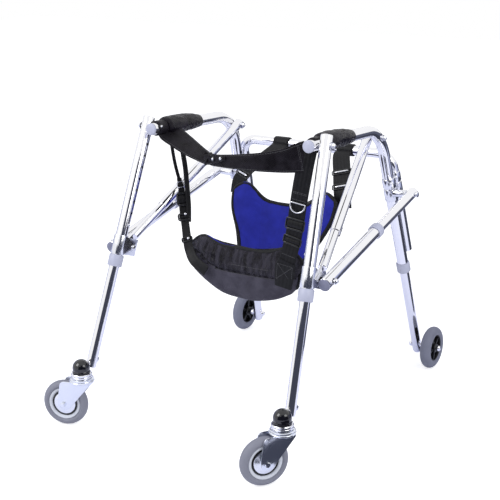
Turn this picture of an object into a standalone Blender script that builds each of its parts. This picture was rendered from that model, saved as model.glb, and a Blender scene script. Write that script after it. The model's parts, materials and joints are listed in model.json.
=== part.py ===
# Pediatric four-wheel walker with a sling seat, as separate parts.
# Units are metres. +Z is up, +Y is the way the user walks, +X is the user's right.
# Each side frame lies in one plane that leans inwards, and its empty carries that lean.

from math import cos, exp, pi, radians, sin, tan

import bmesh
import bpy
from mathutils import Matrix, Vector

# Tubes
TUBE_RADIUS = 0.0127
TUBE_WALL = 0.0012
SLIDING_GAP = 0.0004
LEG_INNER_RADIUS = TUBE_RADIUS - TUBE_WALL - SLIDING_GAP
LEG_INNER_WALL = 0.0012
BRACE_RADIUS = 0.0111
BRACE_ROD_RADIUS = BRACE_RADIUS - TUBE_WALL - SLIDING_GAP
TOUCH_GAP = 0.0003
TUBE_SIDES = 16

# Wheels
WHEEL_RADIUS = 0.050
FRONT_TYRE_WIDTH = 0.026
CASTER_TYRE_WIDTH = 0.024
AXLE_RADIUS = 0.004
FRONT_WHEEL_OFFSET = 0.039
CASTER_TRAIL = 0.039
CASTER_BEHIND_LEG = 0.034
CASTER_TURN = {1: radians(54), -1: radians(17)}
WHEEL_STEPS = 24
HUB_STEPS = 20
HOLE_SIDES = 8
BOLT_SIDES = 10

# The plane of a side frame
HALF_WIDTH_AT_FLOOR = 0.227
LEAN = radians(3.4)
ORIGIN_SHIFT = (0.0233, -0.0988)

# Armrest and front leg, one bent tube
ARM_REAR_Y = -0.028
ARM_REAR_HEIGHT = 0.617
ARM_SLOPE = radians(3.0)
BEND_RADIUS = 0.095
FRONT_RAKE = radians(16.5)
FRONT_LINE_Y = 0.4513
FRONT_LINE_HEIGHT = WHEEL_RADIUS
FRONT_TUBE_END_HEIGHT = 0.262
FRONT_BUTTON_HEIGHT = 0.361
FRONT_TOP_ABOVE_BUTTON = 0.018
FRONT_LOWER_TOP_HEIGHT = FRONT_BUTTON_HEIGHT + FRONT_TOP_ABOVE_BUTTON
FRONT_FOOT_BELOW_AXLE = 0.020
FRONT_FOOT_HEIGHT = WHEEL_RADIUS - FRONT_FOOT_BELOW_AXLE

# Rear leg, in its own plane outside the armrest tube
REAR_PLANE = 0.0265
REAR_TOP_ABOVE_ARM = 0.020
REAR_TOP_HEIGHT = ARM_REAR_HEIGHT + REAR_TOP_ABOVE_ARM
REAR_RAKE = radians(21.2)
REAR_FOOT_ABOVE_WHEEL = 0.022357
REAR_LENGTH = (REAR_TOP_HEIGHT - 2 * WHEEL_RADIUS - REAR_FOOT_ABOVE_WHEEL) / cos(REAR_RAKE)
REAR_TUBE_END = 0.318
REAR_BUTTON_AT = 0.2376

# Height adjustment
HOLE_PITCH = 0.0254
HOLES = 8
HOLE_RADIUS = 0.0036
BUTTON_RADIUS = 0.0032
BUTTON_STAND_OUT = 0.0025
BUTTON_SLOT_GAP = 0.0010

# Fold pivots of a side frame
ARM_PIVOT_Y = -0.008
ARM_PIVOT_BELOW_END = 0.001
BRACKET_ALONG_LEG = 0.282788
BRACKET_AHEAD = 0.031387
INNER_PIVOT_BEHIND_KNEE = 0.011256
INNER_PIVOT_BELOW_KNEE = 0.018426
OUTER_PIVOT_BEHIND_LEG = 0.012399
OUTER_PIVOT_ABOVE_BRACKET = 0.005
INNER_BRACE_FRONT_PLANE = -0.0246
INNER_BRACE_REAR_PLANE = 0.033
OUTER_BRACE_PLANE = 0.0552
PIVOT_RADIUS = 0.0032
NUT_RADIUS = 0.0062

# Braces, measured from the bracket pivot
INNER_TUBE_START = 0.130
INNER_ROD_END = 0.192
OUTER_TUBE_BACK = 0.017
OUTER_TUBE_END = 0.222
OUTER_ROD_START = 0.165

# Cross frame, a bent tube in front of the front legs
CROSS_RADIUS = 0.0111
CROSS_FORWARD = 0.034
CROSS_HEIGHT = 0.534
CROSS_END_HEIGHT = 0.298
CROSS_BEND = 0.038
UPPER_BRACKET_HEIGHT = 0.474
MID_BRACKET_HEIGHT = 0.446

# Soft parts
PAD_START = 0.016
PAD_END = 0.146
PAD_RADIUS = 0.0215
PAD_UNDERSIDE = 0.0165
STRAP_WIDTH = 0.038
STRAP_THICKNESS = 0.003
BAND_THICKNESS = 0.007
BAND_WRAP_RADIUS = 0.0155
SEAT_HALF_WIDTHS = (0.141, 0.141, 0.128, 0.094, 0.080, 0.103, 0.129, 0.134)
SEAT_THICKNESS = 0.018
SEAT_OFF_CENTRE = -0.001
SEAM_DEPTH = 0.003
REAR_CORNER_LIFT = 0.024
FRONT_CORNER_LIFT = 0.036
RIGHT_SIDE_DROP = 0.020

for old in list(bpy.data.objects):
    bpy.data.objects.remove(old, do_unlink=True)

scene = bpy.context.scene
walker = bpy.data.collections.new("pediatric_walker")
scene.collection.children.link(walker)
cutters = bpy.data.collections.new("cutters")
scene.collection.children.link(cutters)
cutters.hide_render = True
origin = bpy.data.objects.new("walker_origin", None)
walker.objects.link(origin)
origin.location = (*ORIGIN_SHIFT, 0)


def material(name, colour, roughness, metallic):
    made = bpy.data.materials.new(name)
    made.use_nodes = True
    shader = made.node_tree.nodes["Principled BSDF"]
    shader.inputs["Base Color"].default_value = (*colour, 1.0)
    shader.inputs["Roughness"].default_value = roughness
    shader.inputs["Metallic"].default_value = metallic
    return made


LOOKS = {
    "chrome": ((0.80, 0.80, 0.83), 0.08, 1.0),
    "bright_steel": ((0.72, 0.72, 0.75), 0.18, 1.0),
    "gray_plastic": ((0.42, 0.46, 0.52), 0.5, 0.0),
    "black_plastic": ((0.012, 0.012, 0.014), 0.25, 0.0),
    "black_hub": ((0.02, 0.02, 0.022), 0.45, 0.0),
    "light_hub": ((0.50, 0.52, 0.55), 0.4, 0.0),
    "gray_tyre": ((0.24, 0.25, 0.29), 0.6, 0.0),
    "dark_tyre": ((0.11, 0.12, 0.15), 0.6, 0.0),
    "black_cloth": ((0.012, 0.012, 0.015), 0.75, 0.0),
    "black_webbing": ((0.010, 0.010, 0.012), 0.8, 0.0),
}


def finish(obj, look, group=walker):
    """Link an object, give it its own material and smooth its round faces."""
    if obj.name not in group.objects:
        group.objects.link(obj)
    if group is walker:
        obj.data.materials.clear()
        obj.data.materials.append(material(obj.name, *LOOKS[look]))
        obj.data.shade_smooth()
        obj.data.set_sharp_from_angle(angle=radians(38))
    else:
        obj.hide_render = True
        obj.display_type = "WIRE"
    return obj


def mesh_object(name, bm):
    bmesh.ops.recalc_face_normals(bm, faces=bm.faces)
    mesh = bpy.data.meshes.new(name)
    bm.to_mesh(mesh)
    bm.free()
    return bpy.data.objects.new(name, mesh)


def rod(name, radius, low, high, sides=TUBE_SIDES):
    """A plain cylinder on the local Z axis, from low to high."""
    bm = bmesh.new()
    middle = Matrix.Translation((0, 0, (low + high) / 2))
    bmesh.ops.create_cone(
        bm, cap_ends=True, segments=sides, radius1=radius, radius2=radius, depth=high - low, matrix=middle
    )
    return mesh_object(name, bm)


def block(name, low, high):
    """A box between two corners."""
    bm = bmesh.new()
    size = [b - a for a, b in zip(low, high)]
    middle = [(a + b) / 2 for a, b in zip(low, high)]
    bmesh.ops.create_cube(bm, size=1.0, matrix=Matrix.Translation(middle) @ Matrix.Diagonal((*size, 1)))
    return mesh_object(name, bm)


def turned(name, outline, steps=TUBE_SIDES, ring=False):
    """Turn an outline of (radius, height) pairs about the local Z axis."""
    bm = bmesh.new()
    verts = [bm.verts.new((r, 0, z)) for r, z in outline]
    pairs = list(zip(verts, verts[1:]))
    if ring:
        pairs.append((verts[-1], verts[0]))
    edges = [bm.edges.new(pair) for pair in pairs]
    bmesh.ops.spin(
        bm, geom=verts + edges, cent=(0, 0, 0), axis=(0, 0, 1), angle=2 * pi, steps=steps, use_merge=True
    )
    bmesh.ops.remove_doubles(bm, verts=bm.verts, dist=1e-6)
    return mesh_object(name, bm)


def pipe(name, outer, inner, low, high, sides=TUBE_SIDES):
    return turned(name, [(inner, low), (outer, low), (outer, high), (inner, high)], sides, ring=True)


def plate(name, outline, low, high):
    """Push a flat outline of (x, y) pairs along the local Z axis."""
    bm = bmesh.new()
    face = bm.faces.new([bm.verts.new((x, y, low)) for x, y in outline])
    grown = bmesh.ops.extrude_face_region(bm, geom=[face])
    moved = [v for v in grown["geom"] if isinstance(v, bmesh.types.BMVert)]
    bmesh.ops.translate(bm, verts=moved, vec=(0, 0, high - low))
    return mesh_object(name, bm)


def bent_tube(name, points, radius, sides=16):
    """A solid round bar along a list of points, made from a bevelled curve."""
    curve = bpy.data.curves.new(name + "_path", "CURVE")
    curve.dimensions = "3D"
    curve.bevel_depth = radius
    curve.bevel_resolution = (sides - 4) // 2
    curve.use_fill_caps = True
    line = curve.splines.new("POLY")
    line.points.add(len(points) - 1)
    for point, place in zip(line.points, points):
        point.co = (*place, 1.0)
    holder = bpy.data.objects.new(name + "_path", curve)
    scene.collection.objects.link(holder)
    bpy.context.view_layer.update()
    evaluated = holder.evaluated_get(bpy.context.evaluated_depsgraph_get())
    mesh = bpy.data.meshes.new_from_object(evaluated)
    bpy.data.objects.remove(holder)
    bpy.data.curves.remove(curve)
    bm = bmesh.new()
    bm.from_mesh(mesh)
    bpy.data.meshes.remove(mesh)
    bmesh.ops.remove_doubles(bm, verts=bm.verts, dist=1e-6)
    return mesh_object(name, bm)


def corner(before, at, after, radius, steps):
    """Points of the arc that rounds the corner at one point of a path."""
    before, at, after = Vector(before), Vector(at), Vector(after)
    back = (before - at).normalized()
    on = (after - at).normalized()
    half = back.angle(on) / 2
    middle = at + (back + on).normalized() * (radius / sin(half))
    start = at + back * (radius / tan(half)) - middle
    turn = pi - 2 * half
    axis = start.cross(on).normalized()
    return [middle + Matrix.Rotation(turn * i / steps, 3, axis) @ start for i in range(steps + 1)]


def place(obj, parent, location, along=None, roll_from="Y"):
    """Put an object in its parent's frame with its local Z along a direction."""
    obj.parent = parent or origin
    obj.location = location
    if along is not None:
        obj.rotation_euler = Vector(along).to_track_quat("Z", roll_from).to_euler()
    return obj


def cut(obj, tool, operation="DIFFERENCE"):
    step = obj.modifiers.new(tool.name, "BOOLEAN")
    step.operation = operation
    step.solver = "EXACT"
    step.object = tool
    return obj


def helper(obj, parent, location, along=None, roll_from="Y"):
    finish(obj, None, cutters)
    return place(obj, parent, location, along, roll_from)


def ribbon(name, path, across, width, thickness, sag=None):
    """A flat strip along a path; across gives the strip's width direction at each point."""
    bm = bmesh.new()
    rows = []
    for i, (point, wide) in enumerate(zip(path, across)):
        ahead = path[min(i + 1, len(path) - 1)]
        behind = path[max(i - 1, 0)]
        run = (Vector(ahead) - Vector(behind)).normalized()
        wide = Vector(wide)
        wide = (wide - run * wide.dot(run)).normalized()
        face = run.cross(wide).normalized()
        size = width[i] if isinstance(width, (list, tuple)) else width
        thick = thickness[i] if isinstance(thickness, (list, tuple)) else thickness
        row = []
        for a, b in ((-1, -1), (1, -1), (1, 1), (-1, 1)):
            spot = Vector(point) + wide * (a * size / 2) + face * (b * thick / 2)
            row.append(bm.verts.new(spot))
        rows.append(row)
    for low, high in zip(rows, rows[1:]):
        for k in range(4):
            bm.faces.new((low[k], low[(k + 1) % 4], high[(k + 1) % 4], high[k]))
    bm.faces.new(rows[0][::-1])
    bm.faces.new(rows[-1])
    return mesh_object(name, bm)


def smooth_path(points, steps):
    """Points along a Catmull-Rom line through the given points."""
    points = [Vector(p) for p in points]
    ends = [points[0] * 2 - points[1]] + points + [points[-1] * 2 - points[-2]]
    out = []
    for i in range(1, len(ends) - 2):
        a, b, c, d = ends[i - 1 : i + 3]
        for k in range(steps):
            t = k / steps
            out.append(
                0.5
                * (
                    2 * b
                    + (c - a) * t
                    + (2 * a - 5 * b + 4 * c - d) * t * t
                    + (3 * b - a - 3 * c + d) * t * t * t
                )
            )
    out.append(ends[-2])
    return out


def level_point(side, plane, y, height):
    """Position under the origin of a point given in a side frame's plane."""
    return Vector(
        (
            side * (HALF_WIDTH_AT_FLOOR + plane * cos(LEAN) - height * sin(LEAN)),
            y,
            plane * sin(LEAN) + height * cos(LEAN),
        )
    )


REAR_DOWN = (-sin(REAR_RAKE), -cos(REAR_RAKE))
REAR_FORWARD = (cos(REAR_RAKE), -sin(REAR_RAKE))


def on_rear_leg(distance, forward=0.0):
    """(y, height) of a point on the rear leg, measured down from its top."""
    return (
        REAR_DOWN[0] * distance + REAR_FORWARD[0] * forward,
        REAR_TOP_HEIGHT + REAR_DOWN[1] * distance + REAR_FORWARD[1] * forward,
    )


def on_front_leg(height):
    """y of the front leg's centre line at a height in the side frame's plane."""
    return FRONT_LINE_Y - (height - FRONT_LINE_HEIGHT) * tan(FRONT_RAKE)


def arm_height(y):
    return ARM_REAR_HEIGHT - (y - ARM_REAR_Y) * tan(ARM_SLOPE)


def knee_point():
    """(y, height) where the lines of the armrest and the front leg would meet."""
    drop = FRONT_LINE_HEIGHT - ARM_REAR_HEIGHT - ARM_REAR_Y * tan(ARM_SLOPE)
    y = (FRONT_LINE_Y + drop * tan(FRONT_RAKE)) / (1 - tan(ARM_SLOPE) * tan(FRONT_RAKE))
    return y, arm_height(y)


# The same pivots, as (y, height) in the side frame's plane
KNEE = knee_point()
ARM_PIVOT = (ARM_PIVOT_Y, ARM_REAR_HEIGHT - ARM_PIVOT_BELOW_END)
BRACKET_PIVOT = on_rear_leg(BRACKET_ALONG_LEG, BRACKET_AHEAD)
INNER_PIVOT = (KNEE[0] - INNER_PIVOT_BEHIND_KNEE, KNEE[1] - INNER_PIVOT_BELOW_KNEE)
OUTER_PIVOT = (
    on_front_leg(MID_BRACKET_HEIGHT) - OUTER_PIVOT_BEHIND_LEG,
    MID_BRACKET_HEIGHT + OUTER_PIVOT_ABOVE_BRACKET,
)


def side_word(side):
    return "right" if side > 0 else "left"


def tyre(name, rim, width, crown):
    """A solid tyre with rounded shoulders, turned about the local Z axis."""
    half = width / 2
    arc = [radians(a) for a in (50, 16, -16, -50)]
    outline = [(rim, half * 0.72), (WHEEL_RADIUS - crown, half)]
    outline += [(WHEEL_RADIUS - crown + crown * cos(a) / cos(arc[1]), half * sin(a)) for a in arc]
    outline += [(WHEEL_RADIUS - crown, -half), (rim, -half * 0.72)]
    return turned(name, outline, WHEEL_STEPS, ring=True)


def build_side(side):
    word = side_word(side)
    frame = bpy.data.objects.new("side_frame_" + word, None)
    walker.objects.link(frame)
    frame.parent = origin
    frame.location = (side * HALF_WIDTH_AT_FLOOR, 0, 0)
    frame.rotation_euler = (0, -side * LEAN, 0)
    outboard = (side, 0, 0)

    def at(plane, y, height):
        return (side * plane, y, height)

    # Armrest and front leg
    knee = Vector((0, *KNEE))
    rear_end = Vector((0, ARM_REAR_Y, ARM_REAR_HEIGHT))
    foot_end = Vector((0, on_front_leg(FRONT_TUBE_END_HEIGHT), FRONT_TUBE_END_HEIGHT))
    path = [rear_end] + corner(rear_end, knee, foot_end, BEND_RADIUS, 6) + [foot_end]
    side_tube = bent_tube("side_tube_" + word, path, TUBE_RADIUS, TUBE_SIDES)
    place(finish(side_tube, "chrome"), frame, (0, 0, 0))
    leg_up = Vector((0, -sin(FRONT_RAKE), cos(FRONT_RAKE)))
    bend_run = BEND_RADIUS / tan((pi / 2 + ARM_SLOPE + FRONT_RAKE) / 2)
    reach = (foot_end - knee).length - bend_run
    bore = helper(
        rod("front_bore_" + word, TUBE_RADIUS - TUBE_WALL, -0.004, reach), frame, foot_end, leg_up
    )
    for i in range(HOLES - 1):
        height = FRONT_BUTTON_HEIGHT + i * HOLE_PITCH * cos(FRONT_RAKE)
        hole = rod("front_hole_%d_%s" % (i, word), HOLE_RADIUS, 0.005, 0.016, HOLE_SIDES)
        helper(hole, frame, at(0, on_front_leg(height), height), (-side, 0, 0))
        cut(side_tube, hole)
    cut(side_tube, bore)
    arm_stud = turned(
        "arm_stud_" + word,
        [
            (0, 0.004),
            (PIVOT_RADIUS, 0.004),
            (PIVOT_RADIUS, REAR_PLANE + TUBE_RADIUS + 0.0008),
            (NUT_RADIUS, REAR_PLANE + TUBE_RADIUS + 0.0008),
            (NUT_RADIUS, REAR_PLANE + TUBE_RADIUS + 0.0045),
            (NUT_RADIUS * 0.6, REAR_PLANE + TUBE_RADIUS + 0.0075),
            (0, REAR_PLANE + TUBE_RADIUS + 0.0085),
        ],
        BOLT_SIDES,
    )
    helper(arm_stud, frame, at(0, *ARM_PIVOT), outboard)
    cut(side_tube, arm_stud, "UNION")
    inner_side = -INNER_BRACE_FRONT_PLANE
    brace_stud = turned(
        "brace_stud_" + word,
        [
            (0, 0.004),
            (PIVOT_RADIUS, 0.004),
            (PIVOT_RADIUS, inner_side + BRACE_RADIUS + 0.001),
            (NUT_RADIUS, inner_side + BRACE_RADIUS + 0.001),
            (NUT_RADIUS, inner_side + BRACE_RADIUS + 0.0045),
            (0, inner_side + BRACE_RADIUS + 0.0065),
        ],
        BOLT_SIDES,
    )
    helper(brace_stud, frame, at(0, *INNER_PIVOT), (-side, 0, 0))
    cut(side_tube, brace_stud, "UNION")

    plug = turned(
        "armrest_end_plug_" + word,
        [(0, 0), (TUBE_RADIUS, 0), (TUBE_RADIUS, 0.003), (TUBE_RADIUS - 0.002, 0.0045), (0, 0.0048)],
    )
    arm_back = Vector((0, -cos(ARM_SLOPE), sin(ARM_SLOPE)))
    place(finish(plug, "gray_plastic"), frame, rear_end + arm_back * TOUCH_GAP, arm_back)

    # Collar and telescoping foot of the front leg
    collar = turned(
        "front_collar_" + word,
        [
            (TUBE_RADIUS + TOUCH_GAP, 0.012),
            (TUBE_RADIUS + TOUCH_GAP, -TOUCH_GAP),
            (LEG_INNER_RADIUS + SLIDING_GAP, -TOUCH_GAP),
            (LEG_INNER_RADIUS + SLIDING_GAP, -0.012),
            (0.0145, -0.012),
            (0.0158, -0.010),
            (0.0158, 0.010),
            (0.0145, 0.012),
        ],
        ring=True,
    )
    place(finish(collar, "gray_plastic"), frame, foot_end, leg_up)
    leg_down = -leg_up
    lower_top = Vector((0, on_front_leg(FRONT_LOWER_TOP_HEIGHT), FRONT_LOWER_TOP_HEIGHT))
    lower_length = (FRONT_LOWER_TOP_HEIGHT - FRONT_FOOT_HEIGHT) / cos(FRONT_RAKE)
    front_lower = turned(
        "front_lower_tube_" + word,
        [
            (LEG_INNER_RADIUS - LEG_INNER_WALL, 0),
            (LEG_INNER_RADIUS, 0),
            (LEG_INNER_RADIUS, lower_length),
            (0, lower_length),
            (0, lower_length - 0.060),
            (LEG_INNER_RADIUS - LEG_INNER_WALL, lower_length - 0.060),
        ],
        ring=True,
    )
    place(finish(front_lower, "chrome"), frame, lower_top, leg_down)
    button_y = on_front_leg(FRONT_BUTTON_HEIGHT)
    hole = rod("front_lower_hole_" + word, HOLE_RADIUS, 0.005, 0.016, HOLE_SIDES)
    helper(hole, frame, at(0, button_y, FRONT_BUTTON_HEIGHT), (-side, 0, 0))
    cut(front_lower, hole)
    button = turned(
        "front_button_" + word,
        [
            (0, 0.005),
            (BUTTON_RADIUS, 0.005),
            (BUTTON_RADIUS, TUBE_RADIUS + BUTTON_STAND_OUT - 0.0015),
            (BUTTON_RADIUS * 0.6, TUBE_RADIUS + BUTTON_STAND_OUT),
            (0, TUBE_RADIUS + BUTTON_STAND_OUT + 0.0002),
        ],
        BOLT_SIDES,
    )
    place(finish(button, "bright_steel"), frame, at(0, button_y, FRONT_BUTTON_HEIGHT), (-side, 0, 0))

    # Front wheel, level on a cross axle through the foot
    axle_middle = level_point(side, 0, FRONT_LINE_Y, FRONT_LINE_HEIGHT)
    axle_middle.z = WHEEL_RADIUS
    wheel_middle = axle_middle + Vector((side * FRONT_WHEEL_OFFSET, 0, 0))
    half = FRONT_TYRE_WIDTH / 2
    far = FRONT_WHEEL_OFFSET + half
    axle = turned(
        "front_axle_" + word,
        [
            (0, -0.0185),
            (0.0055, -0.0175),
            (0.0065, -0.0120),
            (AXLE_RADIUS, -0.0120),
            (AXLE_RADIUS, 0.0128),
            (0.0075, 0.0128),
            (0.0075, FRONT_WHEEL_OFFSET - half - 0.001),
            (AXLE_RADIUS, FRONT_WHEEL_OFFSET - half - 0.001),
            (AXLE_RADIUS, far + 0.0008),
            (0.0065, far + 0.0008),
            (0.0065, far + 0.006),
            (0.0045, far + 0.009),
            (0, far + 0.010),
        ],
        BOLT_SIDES,
    )
    helper(axle, None, axle_middle, (side, 0, 0))
    cut(front_lower, axle, "UNION")
    rim = 0.031
    front_tyre = tyre("front_tyre_" + word, rim, FRONT_TYRE_WIDTH, 0.012)
    place(finish(front_tyre, "dark_tyre"), None, wheel_middle, (side, 0, 0))
    front_hub = turned(
        "front_hub_" + word,
        [
            (AXLE_RADIUS + TOUCH_GAP, half - 0.001),
            (0.011, half - 0.001),
            (0.014, half - 0.006),
            (0.025, half - 0.006),
            (rim - TOUCH_GAP, half - 0.003),
            (rim - TOUCH_GAP, -half + 0.003),
            (0.025, -half + 0.006),
            (0.014, -half + 0.006),
            (0.011, -half + 0.001),
            (AXLE_RADIUS + TOUCH_GAP, -half + 0.001),
        ],
        HUB_STEPS,
        ring=True,
    )
    place(finish(front_hub, "black_hub"), None, wheel_middle, (side, 0, 0))

    # Rear leg
    top = Vector(at(REAR_PLANE, *on_rear_leg(0)))
    down = Vector((0, *REAR_DOWN))
    rear_tube = turned(
        "rear_leg_tube_" + word,
        [
            (0, 0),
            (TUBE_RADIUS - 0.002, 0),
            (TUBE_RADIUS, 0.002),
            (TUBE_RADIUS, REAR_TUBE_END),
            (TUBE_RADIUS - TUBE_WALL, REAR_TUBE_END),
            (TUBE_RADIUS - TUBE_WALL, 0.006),
            (0, 0.006),
        ],
    )
    place(finish(rear_tube, "chrome"), frame, top, down)
    pivot_hole = rod("arm_pivot_hole_" + word, PIVOT_RADIUS + TOUCH_GAP, -0.02, 0.02, 12)
    helper(pivot_hole, frame, at(REAR_PLANE, *ARM_PIVOT), outboard)
    cut(rear_tube, pivot_hole)
    for i in range(HOLES):
        hole = rod("rear_hole_%d_%s" % (i, word), HOLE_RADIUS, 0.005, 0.016, HOLE_SIDES)
        spot = on_rear_leg(REAR_BUTTON_AT - i * HOLE_PITCH)
        helper(hole, frame, at(REAR_PLANE, *spot), (-side, 0, 0))
        cut(rear_tube, hole)

    # Bracket round the rear leg, with two ears and the bolt of both braces
    sleeve_in = TUBE_RADIUS + TOUCH_GAP
    ear = 0.002
    bracket = pipe("leg_bracket_" + word, sleeve_in + ear, sleeve_in, -0.021, 0.0205)
    centre = Vector(at(REAR_PLANE, *on_rear_leg(BRACKET_ALONG_LEG)))
    place(finish(bracket, "bright_steel"), frame, centre, down)
    for k in (-1, 1):
        wing = block(
            "ear_%d_%s" % (k, word),
            (k * (sleeve_in + ear / 2) - ear / 2, 0.0, -0.0185),
            (k * (sleeve_in + ear / 2) + ear / 2, BRACKET_AHEAD + 0.0125, 0.0185),
        )
        finish(wing, None, cutters)
        wing.parent = frame
        wing.location = centre
        forward = Vector((0, *REAR_FORWARD))
        turn = Matrix((Vector((1, 0, 0)), forward, down)).transposed()
        if turn.determinant() < 0:
            turn = Matrix((Vector((-1, 0, 0)), forward, down)).transposed()
        wing.rotation_euler = turn.to_euler()
        cut(bracket, wing, "UNION")
    inner_face = REAR_PLANE - sleeve_in - ear
    outer_nut = OUTER_BRACE_PLANE + TUBE_RADIUS + 0.0008
    bolt = turned(
        "bracket_bolt_" + word,
        [
            (0, inner_face - 0.0045),
            (NUT_RADIUS * 0.8, inner_face - 0.0042),
            (NUT_RADIUS, inner_face - 0.002),
            (NUT_RADIUS, inner_face + 0.0005),
            (PIVOT_RADIUS, inner_face + 0.0005),
            (PIVOT_RADIUS, outer_nut),
            (NUT_RADIUS, outer_nut),
            (NUT_RADIUS, outer_nut + 0.004),
            (NUT_RADIUS * 0.6, outer_nut + 0.007),
            (0, outer_nut + 0.008),
        ],
        BOLT_SIDES,
    )
    helper(bolt, frame, at(0, *BRACKET_PIVOT), outboard)
    cut(bracket, bolt, "UNION")

    rear_end_point = Vector(at(REAR_PLANE, *on_rear_leg(REAR_TUBE_END)))
    rear_collar = turned(
        "rear_collar_" + word,
        [
            (TUBE_RADIUS + TOUCH_GAP, -0.0135),
            (TUBE_RADIUS + TOUCH_GAP, TOUCH_GAP),
            (LEG_INNER_RADIUS + SLIDING_GAP, TOUCH_GAP),
            (LEG_INNER_RADIUS + SLIDING_GAP, 0.012),
            (0.0145, 0.012),
            (0.0158, 0.010),
            (0.0158, -0.0115),
            (0.0145, -0.0135),
        ],
        ring=True,
    )
    place(finish(rear_collar, "gray_plastic"), frame, rear_end_point, down)

    lower_start = REAR_BUTTON_AT - 0.016
    rear_lower = turned(
        "rear_lower_tube_" + word,
        [
            (LEG_INNER_RADIUS - LEG_INNER_WALL, 0),
            (LEG_INNER_RADIUS, 0),
            (LEG_INNER_RADIUS, REAR_LENGTH - lower_start),
            (0, REAR_LENGTH - lower_start),
            (0, REAR_LENGTH - lower_start - 0.004),
            (LEG_INNER_RADIUS - LEG_INNER_WALL, REAR_LENGTH - lower_start - 0.004),
        ],
        ring=True,
    )
    place(finish(rear_lower, "chrome"), frame, at(REAR_PLANE, *on_rear_leg(lower_start)), down)
    button_spot = at(REAR_PLANE, *on_rear_leg(REAR_BUTTON_AT))
    hole = rod("rear_lower_hole_" + word, HOLE_RADIUS, 0.005, 0.016, HOLE_SIDES)
    helper(hole, frame, button_spot, (-side, 0, 0))
    cut(rear_lower, hole)
    rear_button = button.copy()
    rear_button.data = button.data.copy()
    rear_button.name = "rear_button_" + word
    rear_button.data.materials.clear()
    place(finish(rear_button, "bright_steel"), frame, button_spot, (-side, 0, 0))

    # Caster stem bolted behind the rear leg's foot
    bolt_at = Vector(at(REAR_PLANE, *on_rear_leg(REAR_LENGTH - 0.012)))
    bolt_world = level_point(side, REAR_PLANE, bolt_at.y, bolt_at.z)
    stem_top = Vector((bolt_world.x + side * 0.0015, bolt_world.y - CASTER_BEHIND_LEG, bolt_world.z))
    wheel_top = 2 * WHEEL_RADIUS
    stem = turned(
        "caster_stem_" + word,
        [
            (0, wheel_top + 0.0120),
            (0.0218, wheel_top + 0.0120),
            (0.0225, wheel_top + 0.0135),
            (0.0222, wheel_top + 0.0222),
            (0.0190, wheel_top + 0.0232),
            (0.0190, wheel_top + 0.0252),
            (0.0184, stem_top.z - 0.0039),
            (0.0160, stem_top.z + 0.0076),
            (0.0095, stem_top.z + 0.0147),
            (0, stem_top.z + 0.0168),
        ],
        TUBE_SIDES,
    )
    place(finish(stem, "black_plastic"), None, (stem_top.x, stem_top.y, 0))
    reach = CASTER_BEHIND_LEG
    clear = LEG_INNER_RADIUS / cos(REAR_RAKE) + NUT_RADIUS * tan(REAR_RAKE) + 0.0006
    foot_bolt = turned(
        "caster_bolt_" + word,
        [
            (0, 0.004),
            (NUT_RADIUS, 0.004),
            (NUT_RADIUS, reach - clear),
            (PIVOT_RADIUS, reach - clear),
            (PIVOT_RADIUS, reach + clear),
            (NUT_RADIUS, reach + clear),
            (NUT_RADIUS, reach + clear + 0.0045),
            (0, reach + clear + 0.0065),
        ],
        BOLT_SIDES,
    )
    helper(foot_bolt, None, stem_top, (0, 1, 0))
    cut(stem, foot_bolt, "UNION")
    foot_hole = rod("caster_bolt_hole_" + word, PIVOT_RADIUS + 0.0005, -0.02, 0.02, 12)
    helper(foot_hole, None, (bolt_world.x + side * 0.0015, bolt_world.y, bolt_world.z), (0, 1, 0))
    cut(rear_lower, foot_hole)

    # Swivel fork and wheel, turned about the stem's axis
    swivel = bpy.data.objects.new("swivel_axis_" + word, None)
    walker.objects.link(swivel)
    swivel.parent = origin
    swivel.location = (stem_top.x, stem_top.y, 0)
    swivel.rotation_euler = (0, 0, CASTER_TURN[side])
    fork = turned(
        "caster_fork_" + word,
        [
            (0, wheel_top + 0.0017),
            (0.0270, wheel_top + 0.0017),
            (0.0270, wheel_top + 0.0045),
            (0.0235, wheel_top + 0.0090),
            (0.0160, wheel_top + 0.0115),
            (0, wheel_top + 0.0115),
        ],
        20,
    )
    place(finish(fork, "bright_steel"), swivel, (0, 0, 0))
    inner_gap = CASTER_TYRE_WIDTH / 2 + 0.0022
    outline = [
        (0.0205, wheel_top + 0.0035),
        (-CASTER_TRAIL - 0.0050, wheel_top + 0.0035),
        (-CASTER_TRAIL - 0.0130, WHEEL_RADIUS + 0.0040),
        (-CASTER_TRAIL - 0.0110, WHEEL_RADIUS - 0.0085),
        (-CASTER_TRAIL - 0.0005, WHEEL_RADIUS - 0.0135),
        (-CASTER_TRAIL + 0.0110, WHEEL_RADIUS - 0.0115),
        (-CASTER_TRAIL / 3, WHEEL_RADIUS + 0.0060),
        (0.0215, wheel_top - 0.0030),
    ]
    for k in (-1, 1):
        leg = plate("fork_leg_%d_%s" % (k, word), outline, inner_gap, inner_gap + 0.0025)
        finish(leg, None, cutters)
        leg.parent = swivel
        leg.rotation_euler = (pi / 2, 0, 0)
        if k < 0:
            leg.location = (0, 2 * inner_gap + 0.0025, 0)
        cut(fork, leg, "UNION")
    axle = turned(
        "caster_axle_" + word,
        [
            (0, -inner_gap - 0.0075),
            (0.0060, -inner_gap - 0.0070),
            (0.0065, -inner_gap - 0.0020),
            (AXLE_RADIUS, -inner_gap - 0.0020),
            (AXLE_RADIUS, inner_gap + 0.0020),
            (0.0065, inner_gap + 0.0020),
            (0.0060, inner_gap + 0.0070),
            (0, inner_gap + 0.0075),
        ],
        BOLT_SIDES,
    )
    helper(axle, swivel, (-CASTER_TRAIL, 0, WHEEL_RADIUS), (0, 1, 0), "X")
    cut(fork, axle, "UNION")
    caster_rim = 0.0355
    half = CASTER_TYRE_WIDTH / 2
    caster_tyre = tyre("caster_tyre_" + word, caster_rim, CASTER_TYRE_WIDTH, 0.0105)
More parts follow.
